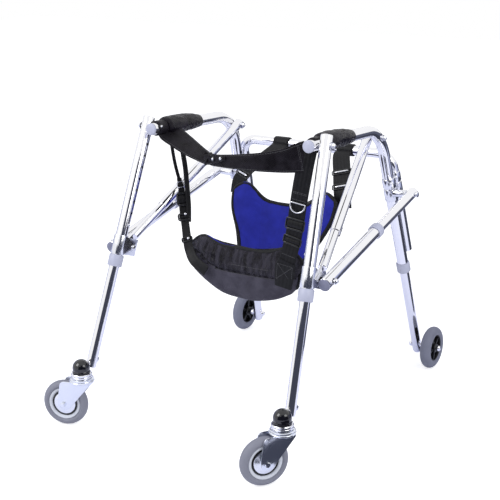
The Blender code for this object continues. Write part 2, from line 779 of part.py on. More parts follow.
    place(finish(caster_tyre, "gray_tyre"), swivel, (-CASTER_TRAIL, 0, WHEEL_RADIUS), (0, 1, 0), "X")
    caster_hub = turned(
        "caster_hub_" + word,
        [
            (AXLE_RADIUS + TOUCH_GAP, half - 0.0002),
            (0.010, half - 0.0002),
            (0.013, half - 0.0035),
            (0.0235, half - 0.0035),
            (0.0260, half - 0.0065),
            (caster_rim - TOUCH_GAP, half - 0.003),
            (caster_rim - TOUCH_GAP, -half + 0.003),
            (0.0260, -half + 0.0065),
            (0.0235, -half + 0.0035),
            (0.013, -half + 0.0035),
            (0.010, -half + 0.0002),
            (AXLE_RADIUS + TOUCH_GAP, -half + 0.0002),
        ],
        HUB_STEPS,
        ring=True,
    )
    place(finish(caster_hub, "light_hub"), swivel, (-CASTER_TRAIL, 0, WHEEL_RADIUS), (0, 1, 0), "X")

    # Inner brace, from inside the bracket to the inboard side of the bend
    low = Vector(at(INNER_BRACE_REAR_PLANE, *BRACKET_PIVOT))
    high = Vector(at(INNER_BRACE_FRONT_PLANE, *INNER_PIVOT))
    run = (high - low).normalized()
    span = (high - low).length
    brace_tube = turned(
        "inner_brace_tube_" + word,
        [
            (BRACE_RADIUS - TUBE_WALL, INNER_TUBE_START),
            (BRACE_RADIUS, INNER_TUBE_START),
            (BRACE_RADIUS, span + 0.008),
            (BRACE_RADIUS - 0.002, span + 0.0105),
            (0, span + 0.0105),
            (0, INNER_TUBE_START + 0.165),
            (BRACE_RADIUS - TUBE_WALL, INNER_TUBE_START + 0.165),
        ],
        ring=True,
    )
    place(finish(brace_tube, "chrome"), frame, low, run)
    hole = rod("inner_pivot_hole_" + word, PIVOT_RADIUS + TOUCH_GAP, -0.02, 0.02, 12)
    helper(hole, frame, high, outboard)
    cut(brace_tube, hole)
    brace_rod = rod("inner_brace_rod_" + word, BRACE_ROD_RADIUS, 0.030, INNER_ROD_END, 16)
    place(finish(brace_rod, "chrome"), frame, low, run)
    eye = bpy.data.objects.new("eye_frame_" + word, None)
    cutters.objects.link(eye)
    eye.parent = frame
    eye.location = low
    across = Vector((1, 0, 0)) - run * run.x
    across.normalize()
    third = run.cross(across)
    eye.rotation_euler = Matrix((across, third, run)).transposed().to_euler()
    tongue = plate(
        "tongue_" + word,
        [
            (-0.0095 + 0.0, 0.0),
            (-0.0082, -0.0048),
            (-0.0048, -0.0082),
            (0.0, -0.0095),
            (0.0048, -0.0082),
            (0.0082, -0.0048),
            (0.0095, 0.0),
            (0.0092, 0.036),
            (-0.0092, 0.036),
        ],
        -0.0025,
        0.0025,
    )
    finish(tongue, None, cutters)
    tongue.parent = eye
    tongue.rotation_euler = Matrix(((0, 0, 1), (1, 0, 0), (0, 1, 0))).to_euler()
    cut(brace_rod, tongue, "UNION")
    eye_hole = rod("eye_hole_" + word, 0.0056, -0.02, 0.02, 12)
    helper(eye_hole, frame, low, outboard)
    cut(brace_rod, eye_hole)

    # Lock lever clipped under the inner brace tube
    latch = block("brace_latch_" + word, (-0.0055, BRACE_RADIUS + 0.0005, 0.0), (0.0055, BRACE_RADIUS + 0.0055, 0.026))
    bevel = latch.modifiers.new("edges", "BEVEL")
    bevel.width = 0.0012
    bevel.segments = 1
    latch_frame = bpy.data.objects.new("latch_frame_" + word, None)
    walker.objects.link(latch_frame)
    latch_frame.parent = frame
    latch_frame.location = low + run * (INNER_TUBE_START + 0.002)
    if third.z > 0:
        across, third = -across, -third
    latch_frame.rotation_euler = Matrix((across, third, run)).transposed().to_euler()
    place(finish(latch, "black_plastic"), latch_frame, (0, 0, 0))

    # Outer brace, from the bracket's bolt to the front leg's stud
    low = Vector(at(OUTER_BRACE_PLANE, *BRACKET_PIVOT))
    high = Vector(at(OUTER_BRACE_PLANE, *OUTER_PIVOT))
    run = (high - low).normalized()
    span = (high - low).length
    outer_tube = turned(
        "outer_brace_tube_" + word,
        [
            (0, -OUTER_TUBE_BACK),
            (TUBE_RADIUS, -OUTER_TUBE_BACK),
            (TUBE_RADIUS, OUTER_TUBE_END),
            (TUBE_RADIUS - TUBE_WALL, OUTER_TUBE_END),
            (TUBE_RADIUS - TUBE_WALL, 0.030),
            (0, 0.030),
        ],
    )
    place(finish(outer_tube, "chrome"), frame, low, run)
    hole = rod("outer_rear_hole_" + word, PIVOT_RADIUS + 0.0034, -0.02, 0.02, 16)
    helper(hole, frame, low, outboard)
    cut(outer_tube, hole)
    outer_plug = turned(
        "outer_brace_plug_" + word,
        [(0, 0), (TUBE_RADIUS, 0), (TUBE_RADIUS, 0.003), (TUBE_RADIUS - 0.002, 0.0045), (0, 0.0048)],
    )
    place(finish(outer_plug, "gray_plastic"), frame, low - run * (OUTER_TUBE_BACK + TOUCH_GAP), -run)
    outer_collar = turned(
        "outer_brace_collar_" + word,
        [
            (TUBE_RADIUS + TOUCH_GAP, -0.012),
            (TUBE_RADIUS + TOUCH_GAP, TOUCH_GAP),
            (LEG_INNER_RADIUS + SLIDING_GAP, TOUCH_GAP),
            (LEG_INNER_RADIUS + SLIDING_GAP, 0.008),
            (0.0142, 0.008),
            (0.0155, 0.006),
            (0.0155, -0.010),
            (0.0142, -0.012),
        ],
        ring=True,
    )
    place(finish(outer_collar, "gray_plastic"), frame, low + run * OUTER_TUBE_END, run)
    outer_rod = rod("outer_brace_rod_" + word, LEG_INNER_RADIUS, OUTER_ROD_START, span + 0.014)
    place(finish(outer_rod, "chrome"), frame, low, run)
    hole = rod("outer_pivot_hole_" + word, PIVOT_RADIUS + TOUCH_GAP, -0.02, 0.02, 12)
    helper(hole, frame, high, outboard)
    cut(outer_rod, hole)

    # Brackets that hold the cross frame's down tube to the front leg
    for name, height in (("upper_bracket_", UPPER_BRACKET_HEIGHT), ("mid_bracket_", MID_BRACKET_HEIGHT)):
        hold = Vector((0, on_front_leg(height), height))
        forward = Vector((0, cos(FRONT_RAKE), sin(FRONT_RAKE)))
        gap = CROSS_FORWARD * cos(FRONT_RAKE)
        long = 0.011 if name == "upper_bracket_" else 0.014
        bracket = pipe(name + word, TUBE_RADIUS + 0.0022, TUBE_RADIUS + TOUCH_GAP, -long, long)
        place(finish(bracket, "bright_steel"), frame, hold, leg_up)
        second = rod(name + "ring_" + word, CROSS_RADIUS + 0.0022, -long, long)
        helper(second, frame, hold + forward * gap, leg_up)
        cut(bracket, second, "UNION")
        web = block(name + "web_" + word, (-0.0035, TUBE_RADIUS + 0.001, -long), (0.0035, gap - CROSS_RADIUS - 0.001, long))
        finish(web, None, cutters)
        web.parent = frame
        web.location = hold
        web.rotation_euler = Matrix((Vector((1, 0, 0)), forward, leg_up)).transposed().to_euler()
        cut(bracket, web, "UNION")
        if name == "mid_bracket_":
            near = OUTER_BRACE_PLANE - LEG_INNER_RADIUS - 0.0008
            stud = turned(
                "mid_stud_" + word,
                [
                    (0, TUBE_RADIUS + 0.0006),
                    (0.0085, TUBE_RADIUS + 0.0006),
                    (0.0085, near),
                    (PIVOT_RADIUS, near),
                    (PIVOT_RADIUS, OUTER_BRACE_PLANE + LEG_INNER_RADIUS + 0.0008),
                    (NUT_RADIUS, OUTER_BRACE_PLANE + LEG_INNER_RADIUS + 0.0008),
                    (NUT_RADIUS, OUTER_BRACE_PLANE + LEG_INNER_RADIUS + 0.0050),
                    (0, OUTER_BRACE_PLANE + LEG_INNER_RADIUS + 0.0070),
                ],
                BOLT_SIDES,
            )
            helper(stud, frame, at(0, *OUTER_PIVOT), outboard)
            cut(bracket, stud, "UNION")
            fin = block(
                "mid_fin_" + word,
                (TUBE_RADIUS + 0.0006, -0.0150, -0.0080),
                (TUBE_RADIUS + 0.0056, 0.0030, 0.0080),
            )
            finish(fin, None, cutters)
            fin.parent = frame
            fin.location = hold
            out = Vector((side, 0, 0))
            fin.rotation_euler = Matrix((out, forward * side, leg_up)).transposed().to_euler()
            if side < 0:
                fin.location = hold + forward * -0.0120
            cut(bracket, fin, "UNION")
        slot = block(
            name + "slot_" + word,
            (TUBE_RADIUS - 0.002, -BUTTON_RADIUS - BUTTON_SLOT_GAP, -long - 0.001),
            (TUBE_RADIUS + BUTTON_STAND_OUT + 0.004, BUTTON_RADIUS + BUTTON_SLOT_GAP, long + 0.001),
        )
        helper(slot, frame, hold)
        slot.rotation_euler = Matrix((Vector((-side, 0, 0)), forward * -side, leg_up)).transposed().to_euler()
        cut(bracket, slot)
        down_bore = rod(name + "bore_" + word, CROSS_RADIUS + TOUCH_GAP, -0.03, 0.03)
        helper(down_bore, frame, hold + forward * gap, leg_up)
        cut(bracket, down_bore)

    # Armrest pad
    length = (PAD_END - PAD_START) / cos(ARM_SLOPE)
    inside = TUBE_RADIUS + TOUCH_GAP
    outline = [(inside, 0.0)]
    for share, fat in ((0.0, 0.55), (0.03, 0.85), (0.12, 1.0), (0.35, 1.0), (0.6, 0.93), (0.8, 0.75), (0.95, 0.4), (1.0, 0.12)):
        outline.append((inside + (PAD_RADIUS - inside) * fat, length * share))
    outline.append((inside, length))
    pad = turned("armrest_pad_" + word, outline, 16, ring=True)
    for vert in pad.data.vertices:
        radius = vert.co.xy.length
        if vert.co.y < 0 and radius > inside + 0.0001:
            flat = -vert.co.y / radius
            squeeze = (PAD_UNDERSIDE - inside) / (PAD_RADIUS - inside)
            wanted = inside + (radius - inside) * (1 - flat * (1 - squeeze))
            vert.co.x *= wanted / radius
            vert.co.y *= wanted / radius
    arm_forward = -arm_back
    start = rear_end + arm_forward * ((PAD_START - ARM_REAR_Y) / cos(ARM_SLOPE))
    place(finish(pad, "black_cloth"), frame, start, arm_forward)
    return frame


frames = {side: build_side(side) for side in (1, -1)}


def cross_path():
    """The cross frame's centre line, from the right down tube's end to the left one's."""
    points = []
    tops = []
    for side in (1, -1):
        tilt_y = CROSS_FORWARD * cos(FRONT_RAKE) ** 2
        rise = CROSS_FORWARD * cos(FRONT_RAKE) * sin(FRONT_RAKE)

        def down_tube(height):
            return level_point(side, 0, on_front_leg(height - rise) + tilt_y, height)

        tops.append((down_tube(CROSS_END_HEIGHT), down_tube(CROSS_HEIGHT)))
    (right_foot, right_top), (left_foot, left_top) = tops
    points.append(right_foot)
    points += corner(right_foot, right_top, left_top, CROSS_BEND, 5)
    points += corner(right_top, left_top, left_foot, CROSS_BEND, 5)
    points.append(left_foot)
    return points


def crossbar_point(x):
    """A point of the crossbar's centre line, at a distance to the right of the middle."""
    top = cross_path()[len(cross_path()) // 2]
    return Vector((x, top.y, top.z))


cross_frame = bent_tube("cross_frame", cross_path(), CROSS_RADIUS, 16)
place(finish(cross_frame, "chrome"), None, (0, 0, 0))


def strip_frame(path, across, i):
    """The run, width and face directions of a strip at one point of its path."""
    ahead = path[min(i + 1, len(path) - 1)]
    behind = path[max(i - 1, 0)]
    run = (ahead - behind).normalized()
    wide = Vector(across[i])
    wide = (wide - run * wide.dot(run)).normalized()
    return run, wide, run.cross(wide).normalized()


def spread(directions, count):
    """One direction for each of count points, blended between the given ones."""
    out = []
    for i in range(count):
        spot = i / (count - 1) * (len(directions) - 1)
        k = min(int(spot), len(directions) - 2)
        out.append(Vector(directions[k]).lerp(Vector(directions[k + 1]), spot - k))
    return out


def fitting(obj, name, path, across, i, size):
    """Join a buckle or a slide, as a rounded block, to a strip at one point of its path."""
    run, wide, face = strip_frame(path, across, i)
    body = block(name, [-v / 2 for v in size], [v / 2 for v in size])
    finish(body, None, cutters)
    body.parent = origin
    body.location = path[i]
    body.rotation_euler = Matrix((wide, run, wide.cross(run))).transposed().to_euler()
    cut(obj, body, "UNION")


def strap(name, points, directions, width, fittings, steps=4, look="black_webbing", thickness=STRAP_THICKNESS):
    path = smooth_path(points, steps)
    across = spread(directions, len(path))
    if isinstance(width, (list, tuple)):
        width = [v.x for v in spread([(w, 0, 0) for w in width], len(path))]
    made = ribbon(name, path, across, width, thickness)
    place(finish(made, look), None, (0, 0, 0))
    for number, (i, size) in enumerate(fittings):
        fitting(made, "%s_fitting_%d" % (name, number), path, across, i, size)
    return made


# The armrest tube's distance from the middle, at the height of its rear end
ARM_X = HALF_WIDTH_AT_FLOOR - ARM_REAR_HEIGHT * sin(LEAN)

# Back band: upright at its right end, turned flat where it meets the left armrest
band = strap(
    "back_band",
    [
        (ARM_X - 0.0124, 0.000, ARM_REAR_HEIGHT - 0.029),
        (0.130, -0.022, ARM_REAR_HEIGHT - 0.034),
        (0.075, -0.038, ARM_REAR_HEIGHT - 0.042),
        (0.015, -0.040, ARM_REAR_HEIGHT - 0.048),
        (-0.040, -0.030, ARM_REAR_HEIGHT - 0.052),
        (-0.085, -0.002, ARM_REAR_HEIGHT - 0.049),
        (-0.128, 0.018, ARM_REAR_HEIGHT - 0.034),
        (0.0244 - ARM_X, 0.020, ARM_REAR_HEIGHT - 0.020),
    ],
    [
        (0.0, 0.10, 1.0),
        (0.0, -0.05, 1.0),
        (0.0, -0.25, 1.0),
        (0.0, -0.30, 1.0),
        (0.0, 0.10, 1.0),
        (0.1, 0.75, 0.70),
        (0.2, 0.95, 0.35),
        (0.3, 0.95, 0.20),
    ],
    [0.056, 0.052, 0.045, 0.038, 0.038, 0.041, 0.048, 0.050],
    [(17, (0.030, 0.030, 0.010))],
    look="black_cloth",
    thickness=BAND_THICKNESS,
)
tab = block(
    "band_tab",
    (0.0134 - ARM_X, -0.004, ARM_REAR_HEIGHT - 0.020),
    (0.0324 - ARM_X, 0.0125, ARM_REAR_HEIGHT - 0.007),
)
helper(tab, None, (0, 0, 0))
cut(band, tab, "UNION")
for side in (1, -1):
    word = side_word(side)
    arm = Vector((0, cos(ARM_SLOPE), -sin(ARM_SLOPE)))
    hold = Vector((0, ARM_REAR_Y + 0.015, arm_height(ARM_REAR_Y + 0.015)))
    wrap = pipe("band_wrap_" + word, BAND_WRAP_RADIUS, TUBE_RADIUS + TOUCH_GAP, 0.0, 0.026)
    helper(wrap, frames[side], hold, arm)
    keep = block(
        "band_wrap_room_" + word,
        (min(-side * 0.030, side * 0.004), -0.060, -0.030),
        (max(-side * 0.030, side * 0.004), 0.060, 0.030),
    )
    helper(keep, frames[side], hold)
    cut(wrap, keep, "INTERSECT")
    cut(band, wrap, "UNION")


def seat_point(a, b):
    """Middle surface of the sling: a runs across, b from its rear edge to its front edge."""
    centre = smooth_path(
        [
            (0, 0.032, 0.366),
            (0, 0.019, 0.318),
            (0, 0.028, 0.264),
            (0, 0.078, 0.256),
            (0, 0.130, 0.262),
            (0, 0.176, 0.306),
            (0, 0.202, 0.365),
            (0, 0.216, 0.422),
        ],
        4,
    )
    edge = smooth_path(
        [
            (0, 0.042, 0.346),
            (0, 0.030, 0.330),
            (0, 0.034, 0.316),
            (0, 0.078, 0.308),
            (0, 0.130, 0.310),
            (0, 0.170, 0.352),
            (0, 0.190, 0.398),
            (0, 0.204, 0.432),
        ],
        4,
    )
    spot = b * (len(centre) - 1)
    k = min(int(spot), len(centre) - 2)
    middle = centre[k].lerp(centre[k + 1], spot - k)
    side_line = edge[k].lerp(edge[k + 1], spot - k)
    share = abs(a) ** 2.4
    point = middle.lerp(side_line, share)
    widths = smooth_path([(w, 0, 0) for w in SEAT_HALF_WIDTHS], 4)
    half = widths[k].lerp(widths[k + 1], spot - k).x
    hump = exp(-(((abs(a) - 0.76) / 0.24) ** 2))
    point.x = a * half + SEAT_OFF_CENTRE
    point.z += hump * (REAR_CORNER_LIFT * max(0.0, 1 - b / 0.14) + FRONT_CORNER_LIFT * max(0.0, (b - 0.72) / 0.28))
    point.z -= RIGHT_SIDE_DROP * max(0.0, a) ** 2 * max(0.0, 1 - abs(b - 0.25) / 0.25)
    return point


def build_seat():
    """The padded sling as one closed solid, with the seam and the gathers of its rear wall."""
    across, along = 20, 13
    grid = [[seat_point(-1 + 2 * i / across, j / along) for i in range(across + 1)] for j in range(along + 1)]
    bm = bmesh.new()
    outer, inner = [], []
    for j in range(along + 1):
        outer_row, inner_row = [], []
        for i in range(across + 1):
            step_a = grid[j][min(i + 1, across)] - grid[j][max(i - 1, 0)]
            step_b = grid[min(j + 1, along)][i] - grid[max(j - 1, 0)][i]
            normal = step_a.cross(step_b).normalized()
            a = -1 + 2 * i / across
            b = j / along
            rim = min(1.0, 6 * (1 - abs(a)) + 0.35, 9 * b + 0.45, 9 * (1 - b) + 0.45)
            thick = SEAT_THICKNESS * rim
            seam = SEAM_DEPTH * max(0.0, 1 - abs(b - 0.19) / 0.05)
            gather = 0.0016 * cos(across * pi * a * 0.5) * max(0.0, 1 - abs(b - 0.11) / 0.09)
            outer_row.append(bm.verts.new(grid[j][i] - normal * (thick / 2 - seam + gather)))
            inner_row.append(bm.verts.new(grid[j][i] + normal * (thick / 2)))
        outer.append(outer_row)
        inner.append(inner_row)
    for rows in (outer, inner):
        for low, high in zip(rows, rows[1:]):
            for i in range(across):
                bm.faces.new((low[i], low[i + 1], high[i + 1], high[i]))
    for j in range(along):
        for i in (0, across):
            bm.faces.new((outer[j][i], outer[j + 1][i], inner[j + 1][i], inner[j][i]))
    for i in range(across):
        for j in (0, along):
            bm.faces.new((outer[j][i], outer[j][i + 1], inner[j][i + 1], inner[j][i]))
    seat = mesh_object("seat_sling", bm)
    place(finish(seat, "black_cloth"), None, (0, 0, 0))


build_seat()

# Straps, with their buckles and slides
strap(
    "rear_strap_right",
    [
        (ARM_X - 0.0144, 0.007, ARM_REAR_HEIGHT - 0.0175),
        (0.164, 0.003, 0.530),
        (0.154, 0.000, 0.470),
        (0.144, -0.002, 0.415),
        (0.128, -0.004, 0.368),
        (0.112, -0.002, 0.318),
    ],
    [(0.95, 0.30, 0.0), (0.97, 0.20, 0.0), (0.98, 0.15, 0.05), (0.97, 0.05, 0.15)],
    STRAP_WIDTH,
    [(7, (0.042, 0.012, 0.008)), (10, (0.040, 0.020, 0.012)), (13, (0.042, 0.022, 0.012))],
)
left = strap(
    "rear_strap_left",
    [
        (-0.178, 0.062, 0.505),
        (-0.177, 0.056, 0.450),
        (-0.166, 0.048, 0.405),
        (-0.151, 0.032, 0.378),
        (-0.117, -0.004, 0.356),
        (-0.072, -0.006, 0.312),
    ],
    [(0.7, 0.7, 0.1), (0.8, 0.6, 0.0), (0.95, 0.30, 0.1), (0.75, 0.1, 0.65)],
    [0.014, 0.018, 0.024, 0.026, 0.030, 0.030],
    [(1, (0.020, 0.018, 0.014)), (4, (0.022, 0.032, 0.018)), (9, (0.026, 0.020, 0.016))],
)
for number, (top, low) in enumerate(
    (
        ((-0.0096 - ARM_X, 0.062, ARM_REAR_HEIGHT - 0.0250), (-0.180, 0.062, 0.502)),
        ((0.0124 - ARM_X, 0.066, ARM_REAR_HEIGHT - 0.0235), (-0.176, 0.062, 0.502)),
    )
):
    path = smooth_path([top, low], 3)
    leg = ribbon("left_strap_leg_%d" % number, path, [Vector((0.35, 1, 0))] * len(path), 0.020, STRAP_THICKNESS)
    helper(leg, None, (0, 0, 0))
    cut(left, leg, "UNION")
for side in (1, -1):
    bar = crossbar_point(side * 0.084)
    front = strap(
        "front_strap_" + side_word(side),
        [
            bar + Vector((0, -CROSS_RADIUS - 0.0026, -0.0005)),
            bar + Vector((side * 0.003, -0.032, -0.009)),
            (side * 0.110, 0.269, 0.497),
            (side * 0.131, 0.231, 0.468),
            (side * 0.138, 0.222, 0.428),
        ],
        [(1.0, 0.0, 0.0), (1.0, 0.05 * side, 0.0), (1.0, 0.10 * side, 0.0), (1.0, 0.15 * side, 0.0)],
        0.040,
        [(7, (0.046, 0.010, 0.006)), (11, (0.046, 0.010, 0.006))],
    )
    loop = pipe("strap_loop_" + side_word(side), CROSS_RADIUS + 0.0032, CROSS_RADIUS + TOUCH_GAP, -0.020, 0.020)
    helper(loop, None, bar, (1, 0, 0))
    cut(front, loop, "UNION")
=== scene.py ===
# %% [markdown]
# # A children's walker in chrome, rubber and nylon
# The frame of this walker is bent steel tube with a bright chrome finish. It
# folds, its legs telescope, and its rear wheels swivel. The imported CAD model
# gives every piece its place and its joints, so this lesson loads it first and
# then dresses it: fine tubes, wheels and hardware, and the sewn nylon parts.

import json
from math import asin, copysign, cos, exp, pi, radians, sin, sqrt, tan

import bpy
from mathutils import Matrix, Vector, noise


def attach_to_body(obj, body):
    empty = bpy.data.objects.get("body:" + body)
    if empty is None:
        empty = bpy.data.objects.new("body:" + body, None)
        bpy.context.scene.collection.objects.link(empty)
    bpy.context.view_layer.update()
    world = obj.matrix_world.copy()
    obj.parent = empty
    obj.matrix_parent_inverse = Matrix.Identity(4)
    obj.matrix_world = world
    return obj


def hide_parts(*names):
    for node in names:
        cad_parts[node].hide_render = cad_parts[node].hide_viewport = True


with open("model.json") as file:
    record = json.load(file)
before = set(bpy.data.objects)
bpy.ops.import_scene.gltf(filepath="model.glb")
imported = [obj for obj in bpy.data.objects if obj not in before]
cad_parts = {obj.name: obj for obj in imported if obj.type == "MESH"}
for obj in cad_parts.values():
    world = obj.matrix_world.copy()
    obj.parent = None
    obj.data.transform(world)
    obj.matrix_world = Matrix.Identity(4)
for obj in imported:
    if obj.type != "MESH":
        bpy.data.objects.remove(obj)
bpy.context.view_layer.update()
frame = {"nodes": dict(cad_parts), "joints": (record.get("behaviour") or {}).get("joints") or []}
joint_of = {joint["name"]: joint for joint in frame["joints"]}

# %% [markdown]
# The camera comes first, because every later choice is judged through it. A
# long lens from behind the walker's right shoulder, a little above it, is what
# the catalogue photograph used. The small roll and shift finish the match.

# %% Camera
azimuth, elevation, roll = radians(32.0), radians(16.5), radians(-0.6)
back = Vector((sin(azimuth) * cos(elevation), -cos(azimuth) * cos(elevation), sin(elevation)))
right = Vector((cos(azimuth), sin(azimuth), 0))
turn = Matrix((right, back.cross(right), back)).transposed() @ Matrix.Rotation(roll, 3, "Z")
camera_data = bpy.data.cameras.new("camera")
camera_data.lens = 83.47
camera_data.sensor_width = 36
camera_data.shift_y = -0.0018
camera_data.clip_end = 30
camera = bpy.data.objects.new("camera", camera_data)
camera.location = (1.2943, -2.0768, 1.068)
camera.rotation_euler = turn.to_euler()
bpy.context.scene.collection.objects.link(camera)
bpy.context.scene.camera = camera
bpy.context.scene.view_settings.view_transform = "Standard"

# %% [markdown]
# Operators act on whatever is selected, and loading leaves the CAD nodes
# selected. So each helper starts from an empty selection. `settle` bakes a
# piece's place into its mesh, which keeps patterns and exports steady.

# %% Helpers for selecting and finishing


def only(obj):
    """Select one object and make it the active one."""
    bpy.ops.object.select_all(action="DESELECT")
    obj.select_set(True)
    bpy.context.view_layer.objects.active = obj


def fresh(name, operator=None, **settings):
    """Run an operator that adds an object, and name the object that is active after it."""
    if operator:
        bpy.ops.object.select_all(action="DESELECT")
        operator(**settings)
    made = bpy.context.active_object
    made.name = made.data.name = name
    return made


def settle(obj, matrix=None, look=None):
    """Put a piece in place, bake the place into its mesh, and add its look."""
    if matrix is not None:
        obj.matrix_world = matrix
    only(obj)
    bpy.ops.object.transform_apply(location=True, rotation=True, scale=True)
    if look:
        obj.data.materials.append(look)
    return obj


def add_step(obj, kind, **settings):
    """Add one modifier with its settings."""
    step = obj.modifiers.new(kind.lower(), kind)
    for key, value in settings.items():
        setattr(step, key, value)
    return step


def apply_step(obj, kind, **settings):
    """Add one modifier and apply it."""
    step = add_step(obj, kind, **settings)
    only(obj)
    bpy.ops.object.modifier_apply(modifier=step.name)


def clean_skin(obj, close=True):
    """Merge doubles, close what is open and turn the faces outwards."""
    only(obj)
    bpy.ops.object.mode_set(mode="EDIT")
    bpy.ops.mesh.select_all(action="SELECT")
    bpy.ops.mesh.remove_doubles(threshold=1e-6)
    if close:
        bpy.ops.mesh.select_all(action="SELECT")
        bpy.ops.mesh.fill_holes(sides=0)
    bpy.ops.mesh.select_all(action="SELECT")
    bpy.ops.mesh.normals_make_consistent(inside=False)
    bpy.ops.object.mode_set(mode="OBJECT")


def join(name, pieces):
    """Make one object of several, such as the fasteners of one side."""
    only(pieces[0])
    for piece in pieces:
        piece.select_set(True)
    bpy.ops.object.join()
    return fresh(name)


# %% [markdown]
# Both sides of the frame lean inwards a little, so a point is easiest to give
# in the side's own plane: how far outboard of the armrest tube, how far
# forward, and how high. `side_point` turns that into the shared frame. Places
# are in metres, and small shapes in millimetres, as a workshop drawing has them.

# %% The frame's own lines
SIDES = (("right", 1), ("left", -1))
SHIFT = Vector((0.0233, -0.0988, 0))
HALF_WIDTH = 0.227
LEAN, FRONT_RAKE, REAR_RAKE, ARM_SLOPE = (radians(angle) for angle in (3.4, 16.5, 21.2, 3.0))
LEG_FOOT = (0.4513, 0.050)
ARM_END = (-0.028, 0.617)
REAR_PLANE, REAR_TOP = 0.0265, 0.637
ARM_PIVOT, BEND_PIVOT = (-0.008, 0.616), (0.277, 0.582)
BRACKET_PIVOT, LOW_PIVOT = (-0.073, 0.362), (0.3216, 0.451)
INNER_LOW, INNER_HIGH, OUTER_PLANE = 0.033, -0.0246, 0.0552
WHEEL_RADIUS, CASTER_TRAIL = 50, 0.039
TUBE, SLIM, WALL = 12.7, 11.1, 1.2


def mm(value):
    """Millimetres as metres, for a number or for any nest of them."""
    return value / 1000 if isinstance(value, (int, float)) else [mm(v) for v in value]


def side_point(side, plane, y, height):
    """A point given in a side's plane, in the shared frame."""
    x = side * (HALF_WIDTH + plane * cos(LEAN) - height * sin(LEAN))
    return Vector((x, y, plane * sin(LEAN) + height * cos(LEAN))) + SHIFT


def side_way(side, plane, y, height):
    """A direction given in a side's plane."""
    x = side * (plane * cos(LEAN) - height * sin(LEAN))
    return Vector((x, y, plane * sin(LEAN) + height * cos(LEAN))).normalized()


def on_front_leg(height):
    """How far forward the front leg is at a height."""
    return LEG_FOOT[0] - (height - LEG_FOOT[1]) * tan(FRONT_RAKE)


def front_point(side, height):
    """A point on the front leg's middle line."""
    return side_point(side, 0, on_front_leg(height), height)


def rear_point(side, distance):
    """A point on the rear leg's middle line, so far down from its top."""
    y, height = -sin(REAR_RAKE) * distance, REAR_TOP - cos(REAR_RAKE) * distance
    return side_point(side, REAR_PLANE, y, height)


def arm_height(y):
    return ARM_END[1] - (y - ARM_END[0]) * tan(ARM_SLOPE)


def arm_point(side, y):
    """A point on the armrest's middle line."""
    return side_point(side, 0, y, arm_height(y))


def square_to(run, way):
    """The direction nearest to a way that is square to a run."""
    way = Vector(way)
    return (way - run * way.dot(run)).normalized()


def place(at, x, y, z):
    """The matrix of a point and three axes."""
    return Matrix.Translation(at) @ Matrix((x, y, z)).transposed().to_4x4()


def aim(at, along, across=None):
    """A place whose Z runs along one direction, and whose X leans towards another."""
    z = Vector(along).normalized()
    x = square_to(z, z.orthogonal() if across is None else across)
    return place(at, x, z.cross(x), z)


def smooth_path(points, steps):
    """Points along a smooth line through the given ones."""
    points = [Vector(p) for p in points]
    ends = [points[0] * 2 - points[1]] + points + [points[-1] * 2 - points[-2]]
    out = []
    for i in range(1, len(ends) - 2):
        a, b, c, d = ends[i - 1 : i + 3]
        for k in range(steps):
            t = k / steps
            cubic = (3 * b - a - 3 * c + d) * t * t * t
            out.append(0.5 * (2 * b + (c - a) * t + (2 * a - 5 * b + 4 * c - d) * t * t + cubic))
    return out + [ends[-2]]


def run_between(path, first, last):
    """The direction from one point of a path to another, kept within its ends."""
    return (path[min(last, len(path) - 1)] - path[max(first, 0)]).normalized()


def blend_along(values, share):
    """A value between the given ones, at a share of the whole length; a number stays itself."""
    if not hasattr(values, "__len__"):
        return values
    values = [Vector(v) if hasattr(v, "__len__") else v for v in values]
    spot = share * (len(values) - 1)
    k = min(int(spot), len(values) - 2)
    return values[k] * (1 - (spot - k)) + values[k + 1] * (spot - k)


# %% [markdown]
# Three ways of making a mesh cover almost everything here. A lathe spins an
# outline, as for tyres, hubs and bolts. A loft wraps a grid into rings, as for
# bent tubes, straps and padding. A plate is a flat outline with thickness.
# The loft also writes a UV map in metres, so that a weave has its true scale.

# %% Lathe, loft and plate


def lathe(name, outline, matrix, steps=64, ring=False, look=None):
    """Spin an outline of (radius, height) pairs about the local Z axis; a ring is closed."""
    corners = [Vector((radius, 0, height)) for radius, height in mm(outline)]
    made = fresh(name, bpy.ops.mesh.primitive_plane_add, size=0.01)
    bpy.ops.object.mode_set(mode="EDIT")
    bpy.ops.mesh.select_all(action="SELECT")
    bpy.ops.mesh.merge(type="CENTER")
    bpy.ops.transform.translate(value=corners[0])
    for start, end in zip(corners, corners[1:] + (corners[:1] if ring else [])):
        bpy.ops.mesh.extrude_region_move(TRANSFORM_OT_translate={"value": end - start})
    bpy.ops.mesh.select_all(action="SELECT")
    bpy.ops.mesh.spin(steps=steps, angle=2 * pi, center=(0, 0, 0), axis=(0, 0, 1))
    bpy.ops.object.mode_set(mode="OBJECT")
    clean_skin(made)
    return settle(made, matrix, look)


def mirrored(half):
    """A whole ring outline from the half above its middle."""
    return half + [(radius, -height) for radius, height in reversed(half)]


def lengths(rings):
    """How long the first ring is, and how far each ring lies from the first."""
    along = [0.0]
    for near, far in zip(rings, rings[1:]):
        along.append(along[-1] + (far[0] - near[0]).length)
    return sum((rings[0][i] - rings[0][i - 1]).length for i in range(len(rings[0]))), along


